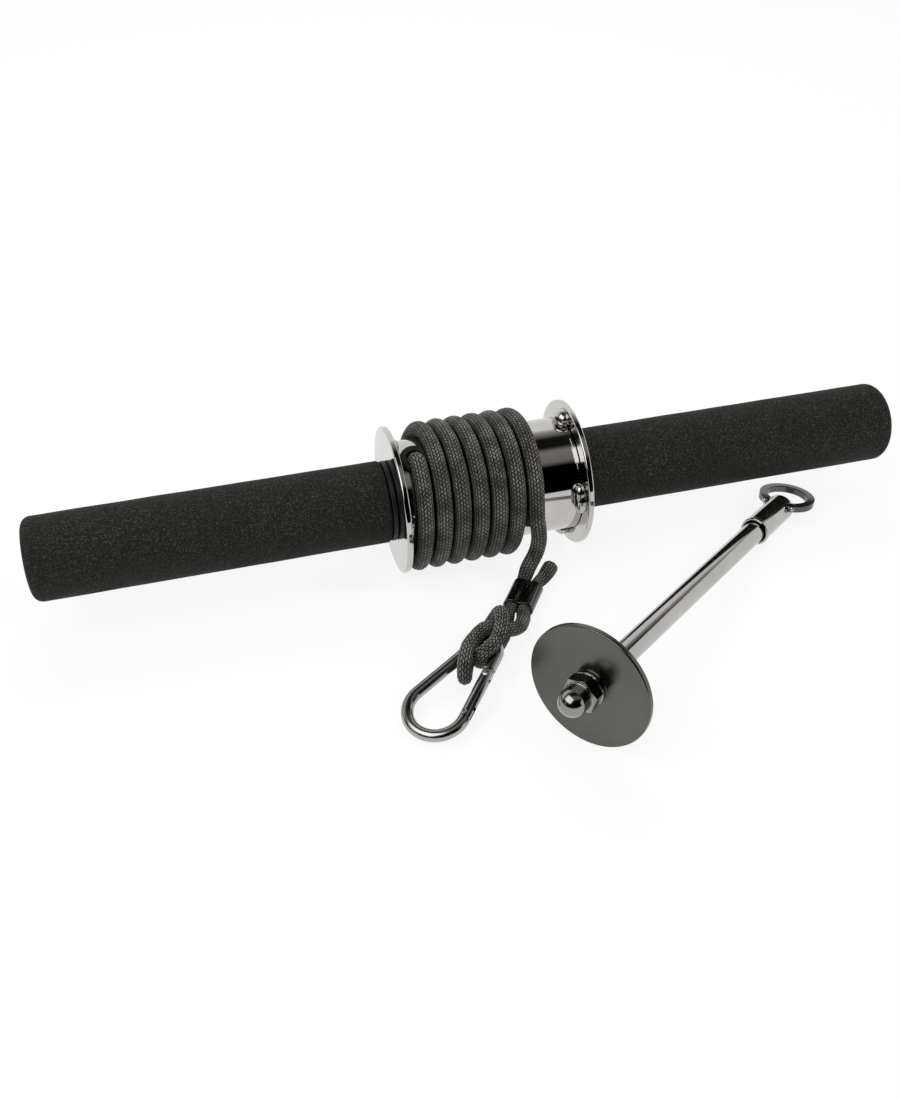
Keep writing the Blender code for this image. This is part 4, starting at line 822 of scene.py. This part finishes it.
def make_carabiner_body():
    """Bent wire with a flat tongue under the gate's fork and a hooked nose for the latch pin."""
    wide = Vector((-BEND_SPACING, 0, 0))
    latch, run = gate_line(HINGE_SETBACK + GATE_LENGTH + LATCH_GAP)
    points = [latch]
    lower = -(QUARTER - SIDE_ANGLE)
    for x, y in arc(wide, WIDE_BEND, lower, lower - (pi + 2 * SIDE_ANGLE), 110):
        if (Vector((x, y, 0)) - latch).dot(run) > 0 or y > 0:
            points.append(Vector((x, y, 0)))
    upper = QUARTER - SIDE_ANGLE
    narrow = [Vector((x, y, 0)) for x, y in arc((0, 0), NARROW_BEND, upper, -upper, 60)]
    spine = [points[-1].lerp(narrow[0], share / 12) for share in range(1, 12)]
    points += spine + narrow + [gate_line(HINGE_SETBACK - WIRE_RADIUS - GAP)[0]]
    body = bent_wire("carabiner_wire", points, WIRE_RADIUS, CARABINER, 16)
    tip, root = GATE_LENGTH, WIRE_RADIUS + TONGUE_ROOT
    tongue = arc((0, 0), TONGUE_REACH, -QUARTER, QUARTER, 24)
    tongue += [(-root, TONGUE_REACH), (-root, -TONGUE_REACH)]
    hook, corner, stop = tip - NOSE_LENGTH, 0.5 * MM, tip + LATCH_GAP / 2
    catch, ledge = LATCH_PIN.x - LATCH_PIN_RADIUS - 2 * GAP, LATCH_PIN.y + LATCH_PIN_RADIUS + GAP
    top, foot, neck = 2.2 * MM, 1.9 * MM, 1.2 * MM
    nose = [(tip + TONGUE_ROOT, top), (hook + corner, top), (hook, top - corner), (hook, corner - foot),
            (hook + corner, -foot), (catch - corner, -foot), (catch, corner - foot), (catch, ledge),
            (stop, ledge), (stop, -neck), (tip + TONGUE_ROOT, -neck)]
    combine(body, slab("tongue", tongue, TONGUE, HINGE), "UNION")
    combine(body, slab("nose", nose[::-1], TONGUE, HINGE), "UNION")
    combine(body, rounded_bar("rivet_hole", RIVET_HOLE, THROUGH, HINGE, 48))
    return even_normals(settle(body, "carabiner_wire", Matrix()))


def make_gate():
    """A round gate, forked over the tongue and slotted over the nose, with a bore for its spring."""
    place = moved(HINGE, (GATE_LENGTH - WIRE_RADIUS) / 2) @ ACROSS
    gate = rounded_bar("gate_bar", WIRE_RADIUS, GATE_LENGTH + WIRE_RADIUS, place, 128)
    spread, past = radians(100), THROUGH / 2
    reach = GATE_LENGTH + past
    heel = [(HEEL_REACH, past)] + arc((0, 0), HEEL_REACH, spread, tau - spread, 30)
    heel += [(HEEL_REACH, -past), (reach, -past), (reach, past)]
    combine(gate, slab("heel", heel, THROUGH, HINGE), "INTERSECT")
    fork, slot = FORK_END + past, NOSE_LENGTH + NOSE_CLEARANCE + past
    for name, long, middle in (("fork", fork, FORK_END - fork / 2), ("nose_slot", slot, reach - slot / 2)):
        combine(gate, block(name, (long, THROUGH, SLOT), moved(HINGE, middle)))
    combine(gate, rounded_bar("rivet_hole", RIVET_HOLE, THROUGH, HINGE, 32))
    combine(gate, rounded_bar("pin_hole", LATCH_PIN_RADIUS + GAP, THROUGH, moved(HINGE, *LATCH_PIN), 32))
    bore = moved(HINGE, FORK_END + BORE_DEPTH / 2 - MM) @ ACROSS
    combine(gate, rounded_bar("bore", BORE_RADIUS, BORE_DEPTH + 2 * MM, bore, 32))
    soften(gate, GATE_EDGE, 2, 60)
    return even_normals(settle(gate, "gate_bar", Matrix()))


def make_rivet():
    """A rivet with a low crowned head at both ends."""
    half = WIRE_RADIUS + 0.1 * MM
    head, shank, top, seat = 1.8 * MM, 1.0 * MM, half + 0.5 * MM, half + 0.02 * MM
    shares = (0, 0.3, 0.5, 0.65, 0.78, 0.88, 0.95)
    profile = [(head * share, top - 0.35 * MM * share ** 4) for share in shares]
    profile += [(head, half + 0.12 * MM), (head - 0.1 * MM, seat), (shank, seat)]
    profile += [(r, -z) for r, z in reversed(profile)]
    return turned("gate_rivet", profile, HINGE, steps=64)


# Loading pin

def make_disc():
    """A round plate with rolled edges, spot-faced at the rear where the rod's shoulder bears on it."""
    bore, seat = THREAD_RADIUS + GAP, DISC_THICKNESS - DISC_SEAT_DEPTH
    profile = rolled(DISC_RADIUS, DISC_THICKNESS, 0, DISC_EDGE, 10)
    profile += [(bore, 0), (bore, seat), (DISC_SEAT_RADIUS, seat), (DISC_SEAT_RADIUS, DISC_THICKNESS)]
    return turned("end_disc", profile, PIN, steps=256, closed=True)


def make_rod():
    """A round rod with a chamfered shoulder, a threaded end and a groove for the retaining ring."""
    radius, thread, chamfer = ROD_RADIUS, THREAD_RADIUS, 0.8 * MM
    foot, tip = DISC_THICKNESS - DISC_SEAT_DEPTH + GAP, NUT_BASE - THREAD_REACH
    high, low, floor = RING_PLACE + RING_HALF, RING_PLACE - RING_HALF, ROD_RADIUS - RING_HALF
    profile = [(0, ROD_END), (radius - chamfer, ROD_END), (radius, ROD_END - chamfer), (radius, high),
               (floor, high), (floor, low), (radius, low), (radius, foot + chamfer / 2),
               (radius - chamfer / 2, foot), (thread, foot)]
    pitch, depth = 1.0 * MM, 0.45 * MM
    at = foot - pitch
    while at > tip + 2 * pitch:
        profile += [(thread, at), (thread - depth, at - pitch / 2)]
        at -= pitch
    profile += [(thread, at), (thread, tip + chamfer), (thread - chamfer, tip), (0, tip)]
    return turned("pin_shaft", profile, PIN, steps=192)


def make_washer():
    """The split lock washer under the nut."""
    high, low, bore = -GAP, -GAP - WASHER_THICKNESS, THREAD_RADIUS + GAP
    profile = rolled(WASHER_RADIUS, high, low, WASHER_EDGE, 5) + [(bore, low), (bore, high)]
    washer = turned("split_washer", profile, PIN, closed=True)
    place = moved(PIN @ Matrix.Rotation(SLIT_TURN, 4, "Z"), WASHER_RADIUS, 0, (low + high) / 2)
    combine(washer, block("slit", SLIT_SIZE, place @ Matrix.Rotation(SLIT_LEAN, 4, "X")))
    return settle(washer, "split_washer", Matrix())


def make_nut():
    """A domed hexagon nut with chamfered corners, softened edges and a blind bore."""
    corner = NUT_WIDTH / sqrt(3)
    middle = NUT_BASE - NUT_HEX / 2
    place = moved(PIN, z=middle) @ Matrix.Rotation(NUT_TURN, 4, "Z")
    nut = rounded_bar("domed_nut", corner, NUT_HEX, place, 6)
    low, high, reach = NUT_BASE - NUT_HEX, NUT_BASE + GAP, corner + GAP
    face, chamfer, past = NUT_WIDTH / 2 - 0.3 * MM, 0.6 * MM, low - 0.05 * MM
    profile = [(0, high), (reach, high), (reach, low + chamfer), (face, past), (0, past)]
    combine(nut, turned("chamfer", profile, PIN, steps=128), "INTERSECT")
    soften(nut, NUT_EDGE, 3, 25)
    centre, foot = NUT_BASE - NUT_HEIGHT + DOME_RADIUS, DOME_RADIUS + NUT_FILLET
    profile = [(0, middle), (foot, middle), (foot, low)]
    profile += arc((foot, low - NUT_FILLET), NUT_FILLET, QUARTER, pi, 6)
    profile += arc((0, centre), DOME_RADIUS, 0, -QUARTER, 40)
    combine(nut, turned("cap", profile, PIN), "UNION")
    depth = THREAD_REACH + GAP
    bore = moved(PIN, z=NUT_BASE + MM - depth / 2)
    combine(nut, rounded_bar("bore", THREAD_RADIUS + GAP, depth + 2 * MM, bore, 64))
    return even_normals(settle(nut, "domed_nut", Matrix()))


def make_sleeve():
    """The swivel sleeve: a rolled lip at its mouth, a groove for the ring and a rounded closed end."""
    radius, bore = SLEEVE_RADIUS, SLEEVE_RADIUS - SLEEVE_WALL
    start, end, lip, nose = SLEEVE_START, SLEEVE_END, SLEEVE_LIP, SLEEVE_NOSE
    deep, edge, mouth = bore + SLEEVE_GROOVE, 0.5 * MM, 0.35 * MM
    profile = [(0, end)] + arc((radius - nose, end - nose), nose, QUARTER, 0, 14)
    under = start + SLEEVE_LIP_WIDTH
    profile += [(radius, under + SLEEVE_LIP_SLOPE), (lip, under)]
    profile += arc((lip - edge, start + edge), edge, 0, -QUARTER, 8)
    profile += arc((bore + mouth, start + mouth), mouth, -QUARTER, -pi, 5)
    low, high, roof = RING_PLACE - RING_HALF, RING_PLACE + RING_HALF, end - SLEEVE_END_WALL
    profile += [(bore, low), (deep, low), (deep, high), (bore, high), (bore, roof), (0, roof)]
    return turned("swivel_tube", profile, EYE, steps=192)


def make_eye():
    """A flat ring plate with eased edges, cut out where the sleeve stands in it."""
    half, edge = EYE_THICKNESS / 2, EYE_EDGE
    inner = EYE_RADIUS - EYE_WIDTH
    profile = rolled(EYE_RADIUS, half, -half, edge, 6)
    profile += arc((inner + edge, edge - half), edge, -QUARTER, -pi, 6)
    profile += arc((inner + edge, half - edge), edge, pi, QUARTER, 6)
    place = moved(EYE_TILT, z=EYE_CENTRE) @ Matrix.Rotation(-QUARTER, 4, "Y")
    ring = turned("eye_plate", profile, place, steps=224, closed=True)
    middle = moved(EYE, z=(SLEEVE_START + SLEEVE_END) / 2)
    combine(ring, rounded_bar("clearance", SLEEVE_RADIUS + GAP, SLEEVE_LENGTH + 2 * GAP, middle, 128))
    settle(ring, "eye_plate", Matrix())
    leg = EYE_CENTRE - sqrt(EYE_RADIUS ** 2 - (SLEEVE_RADIUS + GAP) ** 2)
    beads = []
    for number, side in enumerate((-1, 1)):
        spot = moved(EYE_TILT, 0, side * (SLEEVE_RADIUS + 2 * GAP), leg + EYE_WELD_INSET)
        beads.append(weld_bead(f"eye_weld_{number + 1}", spot @ ACROSS, *EYE_WELD_SIZE, number + 5))
    return ring, beads


# Finishes

def add_node(tree, kind, inputs=(), **settings):
    """A new node with its settings, and its inputs linked or set, by place or by name."""
    node = tree.nodes.new("ShaderNode" + kind)
    for key, value in settings.items():
        setattr(node, key, value)
    for key, value in inputs.items() if isinstance(inputs, dict) else enumerate(inputs):
        if isinstance(value, bpy.types.NodeSocket):
            tree.links.new(value, node.inputs[key])
        else:
            node.inputs[key].default_value = value
    return node


def add_ramp(tree, value, stops):
    """Colours or grey levels between places on a 0 to 1 scale."""
    node = add_node(tree, "ValToRGB", (value,))
    points = node.color_ramp.elements
    while len(points) < len(stops):
        points.new(0.5)
    for point, (at, shade) in zip(points, stops):
        point.position = at
        point.color = (*shade, 1) if isinstance(shade, tuple) else (shade, shade, shade, 1)
    return node.outputs[0]


class Finish:
    """A procedural material round one Principled shader."""

    def __init__(self, name, constants):
        self.material = bpy.data.materials.new(name)
        self.material.use_nodes = True
        self.tree = self.material.node_tree
        self.shader = self.tree.nodes["Principled BSDF"]
        for key, value in constants.items():
            self.shader.inputs[key].default_value = value
        self.places = add_node(self.tree, "TexCoord").outputs

    def maths(self, operation, *values):
        return add_node(self.tree, "Math", values, operation=operation).outputs[0]

    def times(self, first, second):
        return self.maths("MULTIPLY", first, second)

    def grain(self, scale, detail=2.0, roughness=0.5, vector=None):
        inputs = {"Vector": vector or self.places["Object"], "Scale": scale, "Detail": detail,
                  "Roughness": roughness}
        return add_node(self.tree, "TexNoise", inputs).outputs[0]

    def ramp(self, value, *stops):
        return add_ramp(self.tree, value, stops)

    def stretch(self, scale):
        inputs = {"Vector": self.places["Object"], "Scale": scale}
        return add_node(self.tree, "Mapping", inputs).outputs[0]

    def bump(self, height, distance, strength=1.0, after=None):
        inputs = {"Height": height, "Distance": distance, "Strength": strength}
        if after:
            inputs["Normal"] = after
        raised = add_node(self.tree, "Bump", inputs).outputs[0]
        self.tree.links.new(raised, self.shader.inputs["Normal"])
        return raised

    def paint(self, colour, roughness=None):
        self.tree.links.new(colour, self.shader.inputs["Base Color"])
        if roughness is not None:
            self.tree.links.new(roughness, self.shader.inputs["Roughness"])
        return self.material


def plated_finish(name, dark, light, smooth, rough, wave=0.02 * MM):
    """Mirror plating: slight clouding, hairline wipe marks and the soft waviness of the tube under it."""
    made = Finish(name, {"Roughness": rough, "Metallic": 1.0})
    cloud = made.grain(45, 3.0)
    tint = made.ramp(cloud, (0.3, dark), (0.7, light))
    wipe = made.grain(900, 2.0, vector=made.stretch((1, 0.12, 0.3)))
    sheen = made.ramp(made.times(cloud, wipe), (0.1, smooth), (0.5, rough))
    ripple = made.bump(made.grain(70, 1.0), wave)
    made.bump(wipe, 0.0006 * MM, 0.5, ripple)
    return made.paint(tint, sheen)


def satin_finish(name):
    """Satin plating with a fine grain and tiny bright specks."""
    made = Finish(name, {"Roughness": 0.24, "Metallic": 1.0})
    cloud = made.grain(30, 4.0)
    speck = made.ramp(made.grain(2600, 1.0), (0.72, 0.0), (0.80, 0.30))
    tint = made.ramp(cloud, (0.3, (0.098, 0.097, 0.088)), (0.75, (0.130, 0.129, 0.117)))
    mix = add_node(made.tree, "Mix", {"Factor": speck, "A": tint, "B": (0.45, 0.43, 0.4, 1)},
                   data_type="RGBA")
    made.bump(made.grain(1800, 2.0), 0.002 * MM, 0.4)
    return made.paint(mix.outputs["Result"], made.ramp(made.grain(300, 3.0), (0.3, 0.21), (0.7, 0.27)))


def foam_finish():
    """Closed-cell foam: near black, with pale cut cells."""
    made = Finish("black_foam", {"Roughness": 0.85, "Specular IOR Level": 0.22})
    cells = made.grain(1300, 3.0, 0.6)
    patches = made.grain(60, 3.0)
    mixed = made.maths("ADD", made.times(cells, 0.9), made.times(patches, 0.1))
    tint = made.ramp(mixed, (0.34, (0.0057, 0.0057, 0.0048)), (0.53, (0.0125, 0.0125, 0.0104)),
                     (0.73, (0.064, 0.064, 0.055)))
    made.bump(cells, 0.12 * MM, 0.8)
    return made.paint(tint, made.ramp(patches, (0.3, 0.72), (0.7, 0.9)))


def gritty_finish(name, constants, cloud_scale, grit_scale, grit, dark, light, smooth, rough):
    """An even material, slightly clouded, with a fine grit."""
    made = Finish(name, constants)
    cloud = made.grain(cloud_scale, 3.0)
    made.bump(made.grain(grit_scale, 2.0), grit, 0.5)
    tint, sheen = (made.ramp(cloud, (0.3, low), (0.7, high)) for low, high in ((dark, light), (smooth, rough)))
    return made.paint(tint, sheen)


def rope_finish():
    """Plaited polyester: slanted strands in columns, with painted shade between them and painted highlights on
    their crowns, and fine filaments.
    """
    made = Finish("plaited_rope", {"Roughness": 0.6, "Specular IOR Level": 0.3, "Sheen Weight": 0.04,
                                   "Sheen Roughness": 0.4})
    across, along, _ = add_node(made.tree, "SeparateXYZ", (made.places["UV"],)).outputs
    column = made.times(across, float(PLAITS))
    share = made.maths("FRACT", column)
    lean = made.maths("ABSOLUTE", made.maths("MULTIPLY_ADD", share, 2.0, -1.0))
    half = made.times(made.maths("LESS_THAN", share, 0.5), 0.5)
    rows = made.maths("MULTIPLY_ADD", along, 1 / PLAIT_ROW, half)
    row = made.maths("ADD", rows, made.times(lean, PLAIT_SLANT))
    phase = made.maths("MULTIPLY_ADD", made.maths("FRACT", row), 2.0, -1.0)
    round_off = made.maths("SUBTRACT", 1.0, made.times(phase, phase))
    strand = made.maths("SQRT", made.maths("MAXIMUM", round_off, 0.0))
    hollow = made.times(lean, made.maths("SUBTRACT", 1.0, lean))
    edge = made.maths("POWER", made.times(hollow, 4.0), PLAIT_EDGE)
    height = made.times(strand, edge)
    join = add_node(made.tree, "CombineXYZ", (made.times(row, 7.0), made.times(column, 1.3)))
    filament = made.grain(1.0, 2.0, 0.6, join.outputs[0])
    worn = made.grain(130, 3.0)
    # Painted shade and painted highlight: the strand height takes the colour to near black in the gaps and to
    # pale grey on the crowns, with the filament and worn noise varying it.
    level = made.times(height, made.maths("ADD", filament, made.times(worn, 0.7)))
    tint = made.ramp(level, (0.22, (0.0010, 0.0010, 0.0009)), (0.48, (0.013, 0.0126, 0.0108)),
                     (0.68, (0.066, 0.064, 0.056)), (0.92, (0.225, 0.216, 0.190)))
    weave = made.bump(height, 0.6 * MM)
    made.bump(filament, 0.10 * MM, 0.7, weave)
    return made.paint(tint)


def coat(finish, *pieces):
    """Give pieces one finish."""
    for made in pieces:
        made.data.materials.clear()
        made.data.materials.append(finish)


# Stage

def stage_material(name, surface):
    """A material for the floor or the tent, from the function that builds its surface."""
    made = bpy.data.materials.new(name)
    made.use_nodes = True
    made.node_tree.nodes.clear()
    shader = surface(made.node_tree)
    add_node(made.node_tree, "OutputMaterial", {"Surface": shader.outputs[0]})
    return made


def seen_rays(tree):
    """1 for camera, glossy and transmission rays."""
    rays = add_node(tree, "LightPath").outputs
    total = rays["Is Camera Ray"]
    for other in ("Is Glossy Ray", "Is Transmission Ray"):
        total = add_node(tree, "Math", (total, rays[other]), operation="MAXIMUM").outputs[0]
    return total


def floor_surface(tree):
    """White ground that also glows a little where the camera sees it."""
    paint = add_node(tree, "BsdfDiffuse", {"Color": FLOOR_SHADE})
    glow = add_node(tree, "Emission")
    share = add_node(tree, "Math", (seen_rays(tree), FLOOR_GLOW), operation="MULTIPLY")
    return add_node(tree, "MixShader", (share.outputs[0], paint.outputs[0], glow.outputs[0]))


def tent_surface(tree):
    """Dark cloth with soft grey bands overhead, which the plating mirrors."""
    place = add_node(tree, "TexCoord")
    split = add_node(tree, "SeparateXYZ", (place.outputs["Object"],))
    span = add_node(tree, "MapRange",
                    {"Value": split.outputs["Y"], "From Min": TENT_NEAR, "From Max": TENT_FAR})
    bands = [(at, (grey, grey * 0.97, grey * 0.93)) for at, grey in TENT_BANDS]
    return add_node(tree, "Emission", {"Color": add_ramp(tree, span.outputs[0], bands)})


def make_stage():
    """A pale floor, and a tent that only mirrored rays see, open at the back, on the right and below."""
    bpy.ops.mesh.primitive_plane_add(size=FLOOR_SIZE)
    floor = bpy.context.object
    floor.name = "floor"
    floor.data.materials.append(stage_material("pale_floor", floor_surface))
    bpy.ops.mesh.primitive_cube_add(size=1)
    tent = bpy.context.object
    tent.name = "reflection_tent"
    for vert in tent.data.vertices:
        x, y, z = vert.co
        vert.co = (x * TENT_WIDTH, TENT_FAR if y > 0 else TENT_NEAR, TENT_TOP if z > 0 else TENT_FOOT)
    edit(tent)
    bpy.ops.mesh.select_all(action="DESELECT")
    leave_edit()
    for face in tent.data.polygons:
        face.select = face.normal.y > 0.5 or face.normal.x > 0.5 or face.normal.z < -0.5
    bpy.ops.object.mode_set(mode="EDIT")
    bpy.ops.mesh.delete(type="FACE")
    leave_edit()
    tent.data.materials.append(stage_material("dark_cloth", tent_surface))
    for ray in ("camera", "diffuse", "transmission", "volume_scatter", "shadow"):
        setattr(tent, "visible_" + ray, False)


def add_lamp(name, spot, size, power, mirrored):
    """A soft rectangle of light turned to the middle of the floor."""
    bpy.ops.object.light_add(type="AREA", location=spot)
    lamp = bpy.context.object
    lamp.name = name
    lamp.visible_glossy = mirrored
    lamp.data.shape = "RECTANGLE"
    lamp.data.size, lamp.data.size_y = size
    lamp.data.energy = power
    lamp.rotation_mode = "QUATERNION"
    lamp.rotation_quaternion = (-Vector(spot)).to_track_quat("-Z", "Y")


def light_scene():
    """The pale room and its lamps."""
    world = bpy.data.worlds.new("pale_room")
    bpy.context.scene.world = world
    world.use_nodes = True
    tree = world.node_tree
    back = tree.nodes["Background"]
    back.inputs["Color"].default_value = (1, 1, 1, 1)
    level = add_node(tree, "MapRange",
                     {"Value": seen_rays(tree), "To Min": ROOM_LIGHT, "To Max": 1.0})
    tree.links.new(level.outputs[0], back.inputs["Strength"])
    for lamp in LAMPS:
        add_lamp(*lamp)


# The object

def dress(made, body, slot, finish, *nodes):
    """Set what a piece rides on, hide the nodes that it stands for and give it its finish. The slot is not
    used.
    """
    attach(made, body)
    if nodes:
        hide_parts(*nodes)
    coat(finish, made)
    return made


aim_camera()
rope_path, rope_thickness = rope_route()
rope = plaited_rope("plaited_rope", rope_path, rope_thickness)
knot = make_knot()

# These plated finishes stand for one black chrome. The copies for the pin, the nut, the weld beads and the
# carabiner are set darker than the drum's, piece by piece, as painted shade for how brightly each piece shows
# its reflections, and they are rougher too.
chrome = plated_finish("black_chrome", (0.48, 0.47, 0.455), (0.56, 0.55, 0.53), 0.05, 0.11)
pin_chrome = plated_finish("pin_chrome", (0.40, 0.395, 0.385), (0.48, 0.47, 0.455), 0.08, 0.14)
nut_chrome = plated_finish("nut_chrome", (0.25, 0.247, 0.24), (0.31, 0.305, 0.295), 0.13, 0.19)
bead_chrome = plated_finish("bead_chrome", (0.42, 0.41, 0.40), (0.54, 0.53, 0.515), 0.16, 0.22)
wire_chrome = plated_finish("wire_chrome", (0.34, 0.335, 0.325), (0.42, 0.413, 0.40), 0.17, 0.23)
# The eye plate is black chrome as well, so this much darker copy is painted shade on it; the same finish also
# gives the ferrule its dark tone.
dark_plate_and_painted_shade = plated_finish("dark_plate_and_painted_shade", (0.085, 0.083, 0.080), (0.12, 0.118, 0.113), 0.12, 0.18)
satin = satin_finish("satin_black_chrome")
foam = foam_finish()
rubber = gritty_finish("black_rubber", {"Roughness": 0.5, "Specular IOR Level": 0.35}, 260, 1400, 0.03 * MM,
                       (0.003, 0.003, 0.003), (0.009, 0.009, 0.0085), 0.42, 0.58)
cord_finish = rope_finish()
steel = gritty_finish("plain_steel", {"Roughness": 0.35, "Metallic": 1.0}, 400, 2500, 0.004 * MM,
                      (0.42, 0.42, 0.41), (0.6, 0.6, 0.59), 0.26, 0.42)

for side in SIGNS:
    grip = dress(make_grip(side), "roller", "foam", foam, side + "_grip")
    dress(make_spacer(side), "roller", "rubber", rubber, side + "_spacer")
    dress(make_flange(side), "roller", "black_chrome", chrome, side + "_flange")
    for bead in make_beads(side):
        dress(bead, "roller", "black_chrome", bead_chrome)
dress(make_drum(), "roller", "black_chrome", chrome, "drum")
dress(make_grommet(rope_path), "roller", "rubber", rubber, "rope_grommet")

dress(rope, "roller", "rope", cord_finish, "rope_winding", "rope_drop", "rope_hitch", "rope_tail")
dress(knot, "roller", "rope", cord_finish, "rope_knot")
ferrule = dress(make_ferrule(), "roller", "ferrule_metal", dark_plate_and_painted_shade, "crimp_ferrule")
wire = dress(make_carabiner_body(), "roller", "black_chrome", wire_chrome, "carabiner_body")
gate = dress(make_gate(), "gate", "black_chrome", wire_chrome, "carabiner_gate")
rivet = dress(make_rivet(), "roller", "steel", steel, "hinge_rivet")

dress(make_disc(), "loading_pin", "satin_black_chrome", satin, "weight_disc")
dress(make_rod(), "loading_pin", "black_chrome", pin_chrome, "pin_rod")
dress(make_washer(), "loading_pin", "black_chrome", pin_chrome, "lock_washer")
dress(make_nut(), "loading_pin", "black_chrome", nut_chrome, "acorn_nut")
dress(make_sleeve(), "eye", "black_chrome", pin_chrome, "swivel_sleeve")
eye_plate, eye_beads = make_eye()
dress(eye_plate, "eye", "black_chrome", dark_plate_and_painted_shade, "eye_ring")
for bead in eye_beads:
    dress(bead, "eye", "black_chrome", bead_chrome)

kept_nodes = ("core_tube", "latch_pin", "gate_plunger", "gate_spring", "retaining_ring")
coat(steel, *(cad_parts[name] for name in kept_nodes))

make_stage()
light_scene()
bpy.context.scene.view_settings.view_transform = "Standard"
